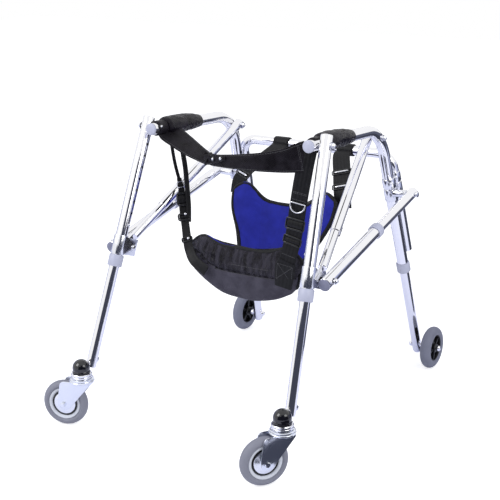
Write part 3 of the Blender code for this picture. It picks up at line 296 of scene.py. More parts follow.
def loft(name, rings, close=True, look=None):
    """Wrap a grid into rings of points, one row of the grid to a ring."""
    rows, count = len(rings), len(rings[0])
    grid = {"x_subdivisions": count, "y_subdivisions": rows - 1, "size": 1}
    made = fresh(name, bpy.ops.mesh.primitive_grid_add, **grid)
    girth, along = lengths(rings)
    spots = []
    for vert in made.data.vertices:
        i, j = round((vert.co.x + 0.5) * count), round((vert.co.y + 0.5) * (rows - 1))
        spots.append((i / count * girth, along[j]))
        vert.co = rings[j][i % count]
    for loop in made.data.loops:
        made.data.uv_layers.active.data[loop.index].uv = spots[loop.vertex_index]
    clean_skin(made, close)
    return settle(made, None, look)


def plate(name, outline, low, high, matrix, bevel=0.6):
    """A flat outline of (x, y) pairs, given thickness along its local Z axis."""
    circle = {"vertices": len(outline), "radius": 1, "fill_type": "NGON"}
    made = fresh(name, bpy.ops.mesh.primitive_circle_add, **circle)
    for vert, (x, y) in zip(made.data.vertices, mm(outline)):
        vert.co = (x, y, mm(low))
    bpy.ops.object.mode_set(mode="EDIT")
    bpy.ops.mesh.select_all(action="SELECT")
    bpy.ops.mesh.extrude_region_move(TRANSFORM_OT_translate={"value": (0, 0, mm(high - low))})
    bpy.ops.object.mode_set(mode="OBJECT")
    clean_skin(made)
    limit = {"limit_method": "ANGLE", "angle_limit": radians(40)}
    apply_step(made, "BEVEL", width=mm(bevel), segments=2, **limit)
    return settle(made, matrix)


def rounded(points, radius, steps):
    """An outline whose corners are rounded, from (x, y) pairs."""
    out = []
    for i in range(len(points)):
        a, b, c = (Vector(points[(i + k) % len(points)]) for k in (-1, 0, 1))
        reach = min(radius, (a - b).length * 0.48, (c - b).length * 0.48)
        first, last = b + (a - b).normalized() * reach, b + (c - b).normalized() * reach
        for k in range(steps + 1):
            t = k / steps
            out.append(tuple(first * (1 - t) ** 2 + b * 2 * t * (1 - t) + last * t * t))
    return out


def oval(centre, wide, tall, count, power=1.0):
    """A ring of points from a centre and two half axes; a low power squares its ends."""
    ring = []
    for k in range(count):
        c, s = cos(2 * pi * k / count), sin(2 * pi * k / count)
        ring.append(centre + wide * copysign(abs(c) ** power, c) + tall * s)
    return ring


def circle_rings(path, radius, count=48):
    """Round rings along a path, turning as little as possible."""
    rings, across = [], None
    for i, point in enumerate(path):
        run = run_between(path, i - 1, i + 1)
        across = square_to(run, run.orthogonal() if across is None else across)
        rings.append(oval(Vector(point), across * radius, run.cross(across) * radius, count))
    return rings


def corner(before, at, after, radius, steps):
    """The arc that rounds one corner of a path."""
    before, at, after = Vector(before), Vector(at), Vector(after)
    back_way, on = (before - at).normalized(), (after - at).normalized()
    half = back_way.angle(on) / 2
    middle = at + (back_way + on).normalized() * (radius / sin(half))
    start = at + back_way * (radius / tan(half)) - middle
    axis = start.cross(on).normalized()
    step = (pi - 2 * half) / steps
    return [middle + Matrix.Rotation(step * i, 3, axis) @ start for i in range(steps + 1)]


def drill(obj, spots, radius, depth):
    """Cut short round holes, given as (point on the surface, inward direction)."""
    size = {"vertices": 24, "radius": mm(radius), "depth": mm(depth) * 2}
    bits = []
    for spot in spots:
        bits.append(settle(fresh("bit", bpy.ops.mesh.primitive_cylinder_add, **size), aim(*spot)))
    bit = join("bits", bits) if len(bits) > 1 else bits[0]
    apply_step(obj, "BOOLEAN", operation="DIFFERENCE", solver="EXACT", object=bit)
    bpy.data.objects.remove(bit)


# %% [markdown]
# Webbing, padding and bands are all strips: a cross-section carried along a
# path, with a direction for its width at each point. A flat piece is often
# easiest to describe by its two edges, so one helper turns edges into a strip.
# Another makes a row of stitches: a thread that swells and dives along a line.

# %% Strips, edges and stitches
STITCH, THREAD = 0.0042, 0.00055


def strip_sections(path, across, widths, thickness, crown, count, wrinkle):
    """Rings of a strip: its widths may change along it, and crown sets how flat it is."""
    rings = []
    for i, point in enumerate(path):
        share = i / (len(path) - 1)
        run = run_between(path, i - 1, i + 1)
        wide = square_to(run, blend_along(across, share))
        face, width = run.cross(wide), blend_along(widths, share)
        ring = []
        for k in range(count):
            c, s = cos(2 * pi * k / count), sin(2 * pi * k / count)
            u, h = copysign(abs(c) ** (2 / crown), c), copysign(abs(s) ** (2 / 2.6), s)
            lift = h * (thickness / 2 + wrinkle(share, u, h))
            ring.append(Vector(point) + wide * (u * width / 2) + face * lift)
        rings.append(ring)
    return rings


def from_edges(near, far):
    """The middle path, width directions and widths of a piece between two edges."""
    edges = [[p + SHIFT for p in smooth_path(mm(edge), 10)] for edge in (near, far)]
    path = [a.lerp(b, 0.5) for a, b in zip(*edges)]
    gaps = [b - a for a, b in zip(*edges)]
    return path, [gap.normalized() for gap in gaps], [gap.length for gap in gaps]


def stitch_line(points):
    """A row of stitches through the given points, made as one thread."""
    length = sum((b - a).length for a, b in zip(points, points[1:]))
    count = max(2, int(length / STITCH)) * 6
    path = [blend_along(points, k / count) for k in range(count + 1)]
    rings = []
    for k, ring in enumerate(circle_rings(path, 1.0, 6)):
        swell = THREAD * (0.10 + 0.90 * abs(sin(pi * k / 6)) ** 0.6)
        rings.append([path[k] + (point - path[k]) * swell for point in ring])
    return loft("stitches", rings, look=thread)


# %% [markdown]
# ## Finishes
# Chrome and plated steel are the easy part to get wrong: a perfect mirror looks
# like glass. One shared group gives every surface small, soft changes, in its
# colour and in its gloss, as handling, dust and moulding leave them.

# %% Group: handling marks


def plug(tree, node, inputs):
    """Fill a node's inputs, each from another node's output or with a plain value."""
    for label, value in inputs.items():
        if isinstance(value, bpy.types.NodeSocket):
            tree.links.new(value, node.inputs[label])
        else:
            node.inputs[label].default_value = value


def add_node(tree, kind, inputs, **settings):
    """A new node with its settings and its inputs."""
    node = tree.nodes.new("ShaderNode" + kind)
    for key, value in settings.items():
        setattr(node, key, value)
    plug(tree, node, inputs)
    return node


def maths(tree, operation, *values):
    """The result of a Math node on numbers or other nodes' outputs."""
    return add_node(tree, "Math", dict(enumerate(values)), operation=operation).outputs[0]


def cloudy(tree, vector, scale, detail):
    """The result of a Noise node."""
    inputs = {"Vector": vector, "Scale": scale, "Detail": detail}
    return add_node(tree, "TexNoise", inputs).outputs["Fac"]


def mixed(tree, share, a, b):
    """Two colours mixed by a share."""
    inputs = {"Factor": share, "A": a, "B": b}
    return add_node(tree, "Mix", inputs, data_type="RGBA").outputs["Result"]


def new_group(name, inputs, *outputs):
    """An empty shader group; a default value tells what kind of input it belongs to."""
    tree = bpy.data.node_groups.new(name, "ShaderNodeTree")
    for label, value in inputs.items():
        kind = {1: "Float", 3: "Vector", 4: "Color"}[len(value) if hasattr(value, "__len__") else 1]
        socket = tree.interface.new_socket(label, in_out="INPUT", socket_type="NodeSocket" + kind)
        socket.default_value = value
    for label in outputs:
        kind = "NodeSocketColor" if label == "Color" else "NodeSocketFloat"
        tree.interface.new_socket(label, in_out="OUTPUT", socket_type=kind)
    return tree, tree.nodes.new("NodeGroupInput").outputs, tree.nodes.new("NodeGroupOutput")


inputs = {"Color": (0.5, 0.5, 0.5, 1), "Patch Scale": 14.0, "Color Change": 0.1}
inputs |= {"Gloss": 0.3, "Gloss Change": 0.08}
marks, given, result = new_group("handling marks", inputs, "Color", "Roughness", "Grain")
where = add_node(marks, "TexCoord", {}).outputs["Object"]
patches = cloudy(marks, where, given["Patch Scale"], 4.0)
offset = maths(marks, "MULTIPLY", maths(marks, "SUBTRACT", patches, 0.5), given["Color Change"])
bright = maths(marks, "ADD", 1.0, maths(marks, "MULTIPLY", offset, 2.0))
tint = add_node(marks, "VectorMath", {0: given["Color"], "Scale": bright}, operation="SCALE")
rough = maths(marks, "MULTIPLY_ADD", patches, given["Gloss Change"], given["Gloss"])
grain = cloudy(marks, where, 900.0, 2.0)
plug(marks, result, {"Color": tint.outputs[0], "Roughness": rough, "Grain": grain})

# %% [markdown]
# Cloth needs threads. Webbing is woven in lines along its length, so its group
# reads the UV map, which the loft wrote in metres. Sewn nylon is a much finer
# grid that shows only as a soft grain, so it reads the object's own space. Its
# creases can be stretched along one direction, as gathered cloth has them. They
# also lighten the cloth's colour, which is a painted sheen on the folds.

# %% Groups: webbing and nylon


def sine_wave(tree, value, per_metre):
    """A wave between 0 and 1, with so many crests in a metre."""
    wave = maths(tree, "SINE", maths(tree, "MULTIPLY", value, 2 * pi * per_metre))
    return maths(tree, "MULTIPLY_ADD", wave, 0.5, 0.5)


weave, _, result = new_group("webbing weave", {}, "Height", "Shade")
strip_uv = add_node(weave, "UVMap", {}).outputs[0]
axes = add_node(weave, "SeparateXYZ", {0: strip_uv}).outputs
picks = maths(weave, "MULTIPLY_ADD", sine_wave(weave, axes["Y"], 780), 0.5, 0.5)
height = maths(weave, "MULTIPLY", sine_wave(weave, axes["X"], 620), picks)
worn = maths(weave, "MULTIPLY", cloudy(weave, strip_uv, 60.0, 3.0), 0.5)
plug(weave, result, {"Height": height, "Shade": maths(weave, "MULTIPLY_ADD", height, 0.5, worn)})

nylon, given, result = new_group(
    "nylon weave", {"Thread Scale": 1400.0, "Stretch": (1.0, 1.0, 1.0)}, "Height", "Creases And Sheen"
)
where = add_node(nylon, "TexCoord", {}).outputs["Object"]
axes = add_node(nylon, "SeparateXYZ", {0: where}).outputs
waves_seen = []
for along in (axes["X"], maths(nylon, "ADD", axes["Y"], axes["Z"])):
    waves_seen.append(maths(nylon, "SINE", maths(nylon, "MULTIPLY", along, given["Thread Scale"])))
height = maths(nylon, "MULTIPLY", *waves_seen)
pulled = add_node(nylon, "VectorMath", {0: where, 1: given["Stretch"]}, operation="MULTIPLY")
# The creases also set the cloth's colour: painted sheen where the folds would catch the light.
creases = maths(nylon, "MULTIPLY_ADD", cloudy(nylon, pulled.outputs[0], 42.0, 3.0), 3.0, -1.0)
creases = maths(nylon, "MINIMUM", maths(nylon, "MAXIMUM", creases, 0.0), 1.0)
plug(nylon, result, {"Height": height, "Creases And Sheen": creases})

# %% [markdown]
# Each finish is a material of its own with the Principled shader in it. A
# value that is the same all over, such as the metal or the sheen, is set on the
# shader itself, and only what changes over the surface comes from a group.

# %% Materials


def principled(name, colour, sockets):
    """A new material, its nodes and its shader, with the shader's constant values."""
    look = bpy.data.materials.new(name)
    look.use_nodes = True
    look.diffuse_color = (*colour, 1)
    shader = look.node_tree.nodes["Principled BSDF"]
    plug(look.node_tree, shader, {label.replace("_", " "): v for label, v in sockets.items()})
    return look, look.node_tree, shader


def add_bump(tree, shader, strength, distance, height):
    inputs = {"Strength": strength, "Distance": distance, "Height": height}
    plug(tree, shader, {"Normal": add_node(tree, "Bump", inputs).outputs[0]})


def hard(
    name, colour, gloss, metal=0.0, patch=14.0, change=0.08, gloss_change=0.08, grain=0.0, **sockets
):
    """Metal, plastic or rubber: one colour with handling marks and a moulded grain."""
    look, tree, shader = principled(name, colour, {"Metallic": metal, **sockets})
    inputs = {"Color": (*colour, 1), "Patch Scale": patch, "Color Change": change}
    inputs |= {"Gloss": gloss, "Gloss Change": gloss_change}
    touched = add_node(tree, "Group", inputs, node_tree=marks).outputs
    plug(tree, shader, {"Base Color": touched["Color"], "Roughness": touched["Roughness"]})
    if grain:
        add_bump(tree, shader, grain, 0.0004, touched["Grain"])
    return look


def cloth(name, dark, light_thread_and_sheen, rough, crease, relief, shine, group=nylon, **inputs):
    """Woven cloth of dark and light threads, their colours given in thousandths; on nylon the light
    colour is a painted sheen laid on by the creases.
    """
    dark, light_thread_and_sheen = ([value / 1000 for value in colour] for colour in (dark, light_thread_and_sheen))
    look, tree, shader = principled(name, dark, {"Specular_IOR_Level": shine})
    height, tone_and_sheen = add_node(tree, "Group", inputs, node_tree=group).outputs
    rough = maths(tree, "MULTIPLY_ADD", tone_and_sheen, 0.16, rough)
    # On nylon the colour turns light where the creases are: painted sheen.
    colour = mixed(tree, tone_and_sheen, (*dark, 1), (*light_thread_and_sheen, 1))
    plug(tree, shader, {"Base Color": colour, "Roughness": rough})
    add_bump(tree, shader, 0.5, relief, maths(tree, "MULTIPLY_ADD", tone_and_sheen, crease, height))
    return look


chrome = hard("chrome plate", (0.90, 0.90, 0.93), 0.045, 1.0, change=0.03, gloss_change=0.05)
zinc = hard("bright zinc plate", (0.82, 0.83, 0.88), 0.12, 1.0, patch=40, gloss_change=0.12)
fork_plate = hard("pressed fork plate", (0.78, 0.81, 0.88), 0.10, 1.0, patch=30, gloss_change=0.10)
silver_disc = hard("bright bearing cover", (0.84, 0.86, 0.90), 0.20, 1.0, change=0.05)
gray_plastic = hard("gray moulded plastic", (0.53, 0.55, 0.70), 0.34, grain=0.20)
DULL, DULLER, DULLEST = ({"Specular_IOR_Level": level} for level in (0.40, 0.35, 0.30))
# A darker copy of the gray plastic, with painted shade, for the outer brace plug.
painted_shade_plastic = hard("gray plastic with painted shade", (0.24, 0.25, 0.36), 0.36, grain=0.20, **DULLEST)
white_rim = hard("pale rim plastic", (0.72, 0.75, 0.83), 0.34, grain=0.12)
BLACK = (0.006, 0.006, 0.008)
CAP_BLACK = (0.004, 0.004, 0.007)
black_gloss = hard("black gloss cap", CAP_BLACK, 0.08, gloss_change=0.04, Coat_Weight=0.5)
black_plastic = hard("black moulded plastic", BLACK, 0.22, grain=0.15)
black_hub = hard("black hub", BLACK, 0.32, grain=0.2, **DULLER)
BLUE_GRAY, DARK_GRAY = (0.255, 0.262, 0.325), (0.205, 0.215, 0.290)
caster_rubber = hard("blue-gray rubber", BLUE_GRAY, 0.50, 0.0, 22, 0.12, grain=0.35, **DULL)
front_rubber = hard("dark gray rubber", DARK_GRAY, 0.52, 0.0, 26, 0.20, grain=0.45, **DULL)
thread = hard("gray thread", (0.075, 0.075, 0.085), 0.6)

# Each cloth: dark thread, light thread (on nylon, the painted sheen of its creases), roughness,
# crease depth, bump height, specular.
band_black = cloth("coated black band", (4, 3, 5), (16, 14, 20), 0.26, 0.7, 0.0007, 0.12)
pad_black = cloth("black nylon", (3, 2, 5), (19, 16, 25), 0.22, 1.1, 0.0010, 0.16)
sling_gray = cloth("charcoal cloth", (50, 47, 68), (82, 78, 108), 0.62, 0.4, 0.0004, 0.12)
lining_blue = cloth("blue lining", (21, 28, 345), (29, 38, 440), 0.50, 0.35, 0.0004, 0.15)
webbing = cloth("black webbing", (3, 3, 4), (15, 15, 18), 0.40, 0.1, 0.0004, 0.20, weave)
# The gathered nylon's light colour is painted sheen along its stretched creases.
wall_nylon = cloth(
    "gathered nylon", (3, 2, 5), (38, 35, 52), 0.18, 1.3, 0.0012, 0.22, Stretch=(2.6, 0.5, 0.8)
)

# %% [markdown]
# Some CAD nodes already have the right shape: the collars, plugs, brackets,
# buttons and levers. They keep their meshes. A weld and a small bevel, as live
# modifiers, give their edges a highlight, and each gets its finish here.

# %% Dress the CAD nodes that stay
KEPT = (
    (gray_plastic, "armrest_end_plug front_collar rear_collar outer_brace_collar"),
    # The outer brace plug is the same gray plastic, darkened: painted shade.
    (painted_shade_plastic, "outer_brace_plug"),
    (zinc, "upper_bracket mid_bracket leg_bracket front_button rear_button"),
    (black_plastic, "brace_latch"),
)
look_of_node = {name: look for look, names in KEPT for name in names.split()}
for name, node in frame["nodes"].items():
    node.data.materials.clear()
    node.data.materials.append(look_of_node.get(name.rpartition("_")[0], chrome))
    for face in node.data.polygons:
        face.material_index = 0
        face.use_smooth = True
    add_step(node, "WELD", merge_threshold=1e-5)
    limit = {"limit_method": "ANGLE", "angle_limit": radians(40)}
    add_step(node, "BEVEL", width=0.0004, segments=2, harden_normals=False, **limit)
    add_step(node, "EDGE_SPLIT", split_angle=radians(42))


def attach(piece, body, look, slot_name, *nodes, angle=40):
    """Give a piece its finish, its body and the CAD nodes that it stands for."""
    if look is not None:
        piece.data.materials.clear()
        piece.data.materials.append(look)
    only(piece)
    bpy.ops.object.shade_smooth_by_angle(angle=radians(angle))
    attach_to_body(piece, body)
    if nodes:
        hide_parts(*nodes)


# %% [markdown]
# ## Tubes
# The armrest and the front leg are one tube, bent on a mandrel to a wide, even
# curve. A loft along straight, arc and straight gives that curve. The wall is
# added afterwards, inwards, so that the foot tube really slides inside it, and
# the adjusting holes are drilled last.

# %% Armrest and front leg tubes
HOLE_PITCH, HOLE, FRONT_BUTTON, FRONT_TUBE_END = 0.0254, 3.6, 0.361, 0.262


def bent_tube(name, path, radius, count):
    """An open tube along a path, with its wall inside the given radius."""
    tube = loft(name, circle_rings(path, mm(radius), count), close=False)
    apply_step(tube, "SOLIDIFY", thickness=mm(WALL), offset=-1)
    return tube


def button_holes(tube, side, radius, points):
    """Drill holes for the spring button into a tube's inboard side."""
    inward = side_way(side, -1, 0, 0)
    drill(tube, [(point + inward * mm(radius), inward) for point in points], HOLE, 5)


knee_y = on_front_leg(arm_height(0)) / (1 - tan(ARM_SLOPE) * tan(FRONT_RAKE))
rear_end = (0, ARM_END[0], arm_height(ARM_END[0]))
foot_end = (0, on_front_leg(FRONT_TUBE_END), FRONT_TUBE_END)
bend = corner(rear_end, (0, knee_y, arm_height(knee_y)), foot_end, 0.095, 28)
for word, side in SIDES:
    path = [side_point(side, *point) for point in [rear_end, *bend, foot_end]]
    tube = bent_tube("armrest_tube_" + word, path, TUBE, 56)
    heights = [FRONT_BUTTON + i * HOLE_PITCH * cos(FRONT_RAKE) for i in range(7)]
    button_holes(tube, side, TUBE, [front_point(side, height) for height in heights])
    attach(tube, "frame", chrome, "chrome", "side_tube_" + word)
print("armrest tubes", len(tube.data.polygons), "faces each")

# %% [markdown]
# The cross frame is a single smaller tube that runs up one front leg, across
# the front and down the other. Its bottom ends are plain saw cuts, so they stay
# open with the wall showing.

# %% Cross frame
AHEAD, CROSS_FOOT, CROSS_TOP = 0.034, 0.298, 0.534
crossing = []
for word, side in SIDES:
    forward, rise = AHEAD * cos(FRONT_RAKE) ** 2, AHEAD * cos(FRONT_RAKE) * sin(FRONT_RAKE)
    for height in (CROSS_FOOT, CROSS_TOP):
        crossing.append(side_point(side, 0, on_front_leg(height - rise) + forward, height))
right_foot, right_top, left_foot, left_top = crossing
path = [right_foot] + corner(right_foot, right_top, left_top, 0.038, 16)
path += corner(right_top, left_top, left_foot, 0.038, 16) + [left_foot]
crossbar_middle = (right_top + left_top) / 2
attach(bent_tube("cross_tube", path, SLIM, 48), "frame", chrome, "chrome", "cross_frame")

# %% [markdown]
# A straight tube is a job for the lathe: the outline goes up the outside and
# back down the inside. The rear leg's upper tube is closed and rounded at its
# top. Its holes are on the inboard side, where the spring button comes through.

# %% Rear legs and their telescoping feet
REAR_BUTTON, STEM_BOLT = 0.2376, 0.540
REAR_FOOT_TOP, REAR_FOOT_END, REAR_TUBE = 221.6, 552, 318
for word, side in SIDES:
    down, inward = side_way(side, 0, -sin(REAR_RAKE), -cos(REAR_RAKE)), side_way(side, -1, 0, 0)
    outline = [(0, 0), (TUBE - 3.5, 0), (TUBE - 1.2, 0.8), (TUBE, 3), (TUBE, REAR_TUBE)]
    outline += [(TUBE - WALL, REAR_TUBE), (TUBE - WALL, 6), (0, 6)]
    leg = lathe("rear_leg_" + word, outline, aim(rear_point(side, 0), down, inward), 56)
    holes = [rear_point(side, REAR_BUTTON - i * HOLE_PITCH) for i in range(8)]
    button_holes(leg, side, TUBE, holes)
    attach(leg, "rear_leg_" + word, chrome, "chrome", "rear_leg_tube_" + word)
    length = REAR_FOOT_END - REAR_FOOT_TOP
    outline = [(SLIM - WALL, 0), (SLIM, 0), (SLIM, length - 1), (SLIM - 1, length), (0, length)]
    outline += [(0, length - 4), (SLIM - WALL, length - 4)]
    top = aim(rear_point(side, mm(REAR_FOOT_TOP)), down, inward)
    foot = lathe("rear_foot_tube_" + word, outline, top, 48, True)
    button_holes(foot, side, SLIM, [rear_point(side, REAR_BUTTON)])
    bolt_at = rear_point(side, STEM_BOLT) + Vector((side * 0.0015, 0, 0))
    drill(foot, [(bolt_at, (0, 1, 0))], 4, 20)
    attach(foot, "rear_foot_" + word, chrome, "chrome", "rear_lower_tube_" + word)

# %% Front telescoping feet with their axles
FRONT_FOOT_TOP, FRONT_FOOT_END, AXLE_ROOT = 379, 30, 0.039
AXLE = [
    (0, -19), (4, -18.5), (6, -16.5), (6.6, -12.5), (4, -12.5), (4, 12.8), (7.5, 12.8), (7.8, 14),
    (7.8, 24), (4, 24.2), (4, 52.8), (6.2, 53), (6.8, 54.5), (6.8, 57.5), (5.5, 60), (3, 61.7),
    (0, 62.2),
]
for word, side in SIDES:
    down = side_way(side, 0, sin(FRONT_RAKE), -cos(FRONT_RAKE))
    length = (FRONT_FOOT_TOP - FRONT_FOOT_END) / cos(FRONT_RAKE)
    outline = [(SLIM - WALL, 0), (SLIM, 0), (SLIM, length - 8), (SLIM - 2.2, length - 3)]
    outline += [(SLIM - 6, length), (0, length), (0, length - 60), (SLIM - WALL, length - 60)]
    top = aim(front_point(side, mm(FRONT_FOOT_TOP)), down, side_way(side, -1, 0, 0))
    foot = lathe("front_foot_tube_" + word, outline, top, 48, True)
    button_holes(foot, side, SLIM, [front_point(side, FRONT_BUTTON)])
    axle_at = Vector(joint_of["front_roll_" + word]["pos_m"]) - Vector((side * AXLE_ROOT, 0, 0))
    axle = lathe("front_axle_" + word, AXLE, aim(axle_at, (side, 0, 0)), 32)
    both = join("front_foot_tube_" + word, [foot, axle])
    attach(both, "front_foot_" + word, chrome, "chrome", "front_lower_tube_" + word)

# %% [markdown]
# The braces are pairs of tubes that slide in one another as the walker folds.
# The inner one ends in a flat tongue on the leg bracket's bolt.

# %% Braces
PIN_HOLE = 3.5
TONGUE = rounded([(-9.5, -9.5), (9.5, -9.5), (9.2, 36), (-9.2, 36)], 9, 8)
for word, side in SIDES:
    out = side_way(side, 1, 0, 0)
    low = side_point(side, INNER_LOW, *BRACKET_PIVOT)
    high = side_point(side, INNER_HIGH, *BEND_PIVOT)
    run, span = (high - low).normalized(), (high - low).length * 1000
    outline = [(SLIM - WALL, 130), (SLIM, 130), (SLIM, span + 7), (SLIM - 1, span + 9.5)]
    outline += [(SLIM - 3, span + 10.5), (0, span + 10.5), (0, 295), (SLIM - WALL, 295)]
    tube = lathe("inner_brace_" + word, outline, aim(low, run, out), 48, True)
    drill(tube, [(high, out)], PIN_HOLE, 20)
    attach(tube, "inner_brace_" + word, chrome, "chrome", "inner_brace_tube_" + word)
    fit = SLIM - WALL - 0.4
    outline = [(0, 30), (fit - 1, 30), (fit, 31), (fit, 192), (0, 192)]
    rod = lathe("inner_slider_" + word, outline, aim(low, run, out), 40)
    across = square_to(run, out)
    tongue = plate("tongue", TONGUE, -2.5, 2.5, place(low, run.cross(across), run, across))
    drill(tongue, [(low, out)], 5.6, 20)
    rod = join("inner_slider_" + word, [rod, tongue])
    attach(rod, "inner_rod_" + word, chrome, "chrome", "inner_brace_rod_" + word)
    low, high = (side_point(side, OUTER_PLANE, *pivot) for pivot in (BRACKET_PIVOT, LOW_PIVOT))
    run, span = (high - low).normalized(), (high - low).length * 1000
    outline = [(0, -17), (TUBE - 1, -17), (TUBE, -16), (TUBE, 222), (TUBE - WALL, 222)]
    outline += [(TUBE - WALL, 30), (0, 30)]
    tube = lathe("outer_brace_" + word, outline, aim(low, run, out), 56)
    drill(tube, [(low, out)], 6.6, 20)
    attach(tube, "outer_brace_" + word, chrome, "chrome", "outer_brace_tube_" + word)
    outline = [(0, 165), (SLIM, 165), (SLIM, span + 12.5), (SLIM - 1.5, span + 14), (0, span + 14)]
    rod = lathe("outer_slider_" + word, outline, aim(low, run, out), 48)
    drill(rod, [(high, out)], PIN_HOLE, 20)
    attach(rod, "outer_rod_" + word, chrome, "chrome", "outer_brace_rod_" + word)
print("braces done")

# %% [markdown]
# ## Wheels
# A caster wheel shows clear rings from outside in: soft rubber, a pale rim, a
# dark groove and a bright bearing cover. Each ring is its own outline, turned
# on the lathe about the wheel's axle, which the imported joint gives.

# %% Casters


def tyre_outline(rim, half, crown, steps=14):
    """A tyre's section, from one bead over the crown to the other."""
    low = WHEEL_RADIUS - crown
    out = [(rim, -half + 3), (rim + 3, -half + 0.5), (low, -half)]
    for i in range(1, steps):
        angle = -pi / 2 + pi * i / steps
        out.append((low + crown * cos(angle), half * sin(angle)))
    return out + [(low, half), (rim + 3, half - 0.5), (rim, half - 3)]


CASTER_TYRE = tyre_outline(35.5, 12, 10.5)
CASTER_RIM = [(35.2, 8.8), (34.5, 10), (33.5, 10.2), (30, 8.8), (28.5, 7), (28.5, 2)]
CASTER_GROOVE = [(28.3, 5), (28.3, 6.6), (24.5, 6.6)]
CASTER_COVER = [
    (4.3, 11.6), (9.5, 11.6), (10.5, 10.6), (13, 9), (22.2, 8.6), (24, 7.6), (24.3, 6),
]
for word, side in SIDES:
    joint = joint_of["caster_roll_" + word]
    wheel = aim(joint["pos_m"], joint["axis"])
    tyre = lathe("caster_tyre_rubber_" + word, CASTER_TYRE, wheel, 112, True)
    named = ("gray_tyre", "caster_tyre_" + word)
    attach(tyre, "caster_wheel_" + word, caster_rubber, *named, angle=50)
    ring = lathe("caster_rim_" + word, mirrored(CASTER_RIM), wheel, 96, True, white_rim)
    groove = lathe("groove", mirrored(CASTER_GROOVE), wheel, 72, True, black_plastic)
    cover = lathe("cover", mirrored(CASTER_COVER), wheel, 72, True, silver_disc)
    hub = join("caster_rim_" + word, [ring, groove, cover])
    attach(hub, "caster_wheel_" + word, None, "light_hub", "caster_hub_" + word)

# %% [markdown]
# The fork is pressed steel: two broad plates that hang from a round head, with
# a ball race round the swivel. The plates taper backwards to the axle, with all
# their corners rounded by the press.

# %% Caster forks
UP = Vector((0, 0, 1))
UPRIGHT = Matrix(((1, 0, 0, 0), (0, 0, -1, 0), (0, 1, 0, 0), (0, 0, 0, 1)))
FORK = [
    (20.5, 103), (-44, 103), (-52, 54), (-50, 41.5), (-39.5, 36.5), (-28, 38.5), (-13, 56),
    (21.5, 97),
]
HEAD = [
    (0, 101.5), (26.2, 101.5), (27, 102.4), (27, 104.6), (26.2, 105.6), (25, 106), (24.6, 106.8),
    (25.4, 107.6), (25.4, 109), (24, 110), (21, 110.6), (20.6, 111.3), (0, 111.3),
]
AXLE_NUT = [(0, 0), (7.2, 0), (7.2, 1), (6.2, 1.2), (6.2, 4.5), (5, 5.5), (0, 5.6)]
for word, side in SIDES:
    swivel_at = Vector(joint_of["caster_swivel_" + word]["pos_m"])
    roll_axis = Vector(joint_of["caster_roll_" + word]["axis"])
    head_at = Vector((swivel_at.x, swivel_at.y, 0))
    fork_frame = place(head_at, roll_axis.cross(UP), roll_axis, UP)
    parts = [lathe("fork_head", HEAD, fork_frame, 72)]
    for k, near, far in ((-1, -16.7, -14.2), (1, 14.2, 16.7)):
        parts.append(plate("fork_leg", rounded(FORK, 10, 6), near, far, fork_frame @ UPRIGHT, 0.7))
        nut_at = fork_frame @ Vector((-CASTER_TRAIL, k * 0.0166, mm(WHEEL_RADIUS)))
        parts.append(lathe("axle_nut", AXLE_NUT, aim(nut_at, roll_axis * k), 6 if k < 0 else 32))
    axle_at = aim(fork_frame @ Vector((-CASTER_TRAIL, 0, mm(WHEEL_RADIUS))), roll_axis)
    parts.append(lathe("axle", [(0, -15), (4, -15), (4, 15), (0, 15)], axle_at, 24))
    fork = join("caster_yoke_" + word, parts)
    attach(fork, "caster_" + word, fork_plate, "bright_steel", "caster_fork_" + word, angle=38)

# %% [markdown]
# Above the swivel a glossy black cap covers the stem, and a bolt runs forward
# from it through the leg's foot. The cap is a ball on a flared skirt.

# %% Stem caps
CAP = [(0, 122.6), (18.2, 122.6), (19, 123.3), (19, 125), (18.4, 126.2)]
for i in range(14):
    angle = radians(-16) + radians(106) * i / 14
    CAP.append((18.6 * cos(angle), 132.2 + 18.6 * sin(angle)))
CAP.append((0, 150.8))
WASHERS = [
    (0, 111.9), (21.4, 111.9), (22.5, 112.8), (22.6, 115.2), (21.8, 116), (21.6, 116.8),
    (22.3, 117.6), (22.4, 120.2), (21.2, 121.7), (15, 122.5), (0, 122.5),
]
clear = SLIM / cos(REAR_RAKE) + 6.2 * tan(REAR_RAKE) + 0.6
near, far = 34 - clear, 34 + clear
BOLT = [
    (0, 4), (6.2, 4), (6.2, near), (3.2, near), (3.2, far), (7.4, far), (7.4, far + 1),
    (6, far + 1.2), (6, far + 4.2), (4, far + 6), (0, far + 6.5),
]
for word, side in SIDES:
    at = Vector(joint_of["caster_swivel_" + word]["pos_m"])
    at.z = 0
    cap = lathe("stem_cap", CAP, Matrix.Translation(at), 72, look=black_gloss)
    washer = lathe("stem_washer", WASHERS, Matrix.Translation(at), 64, look=zinc)
    at.z = rear_point(side, STEM_BOLT).z
    bolt = lathe("stem_bolt", BOLT, aim(at, (0, 1, 0)), 32, look=zinc)
    stem = join("stem_cap_" + word, [cap, washer, bolt])
    attach(stem, "rear_foot_" + word, None, "black_plastic", "caster_stem_" + word, angle=38)

# %% [markdown]
# The front wheels are plainer: a round dark tyre on a black moulded wheel with
# five ribs, held by a bright dome nut on the axle.

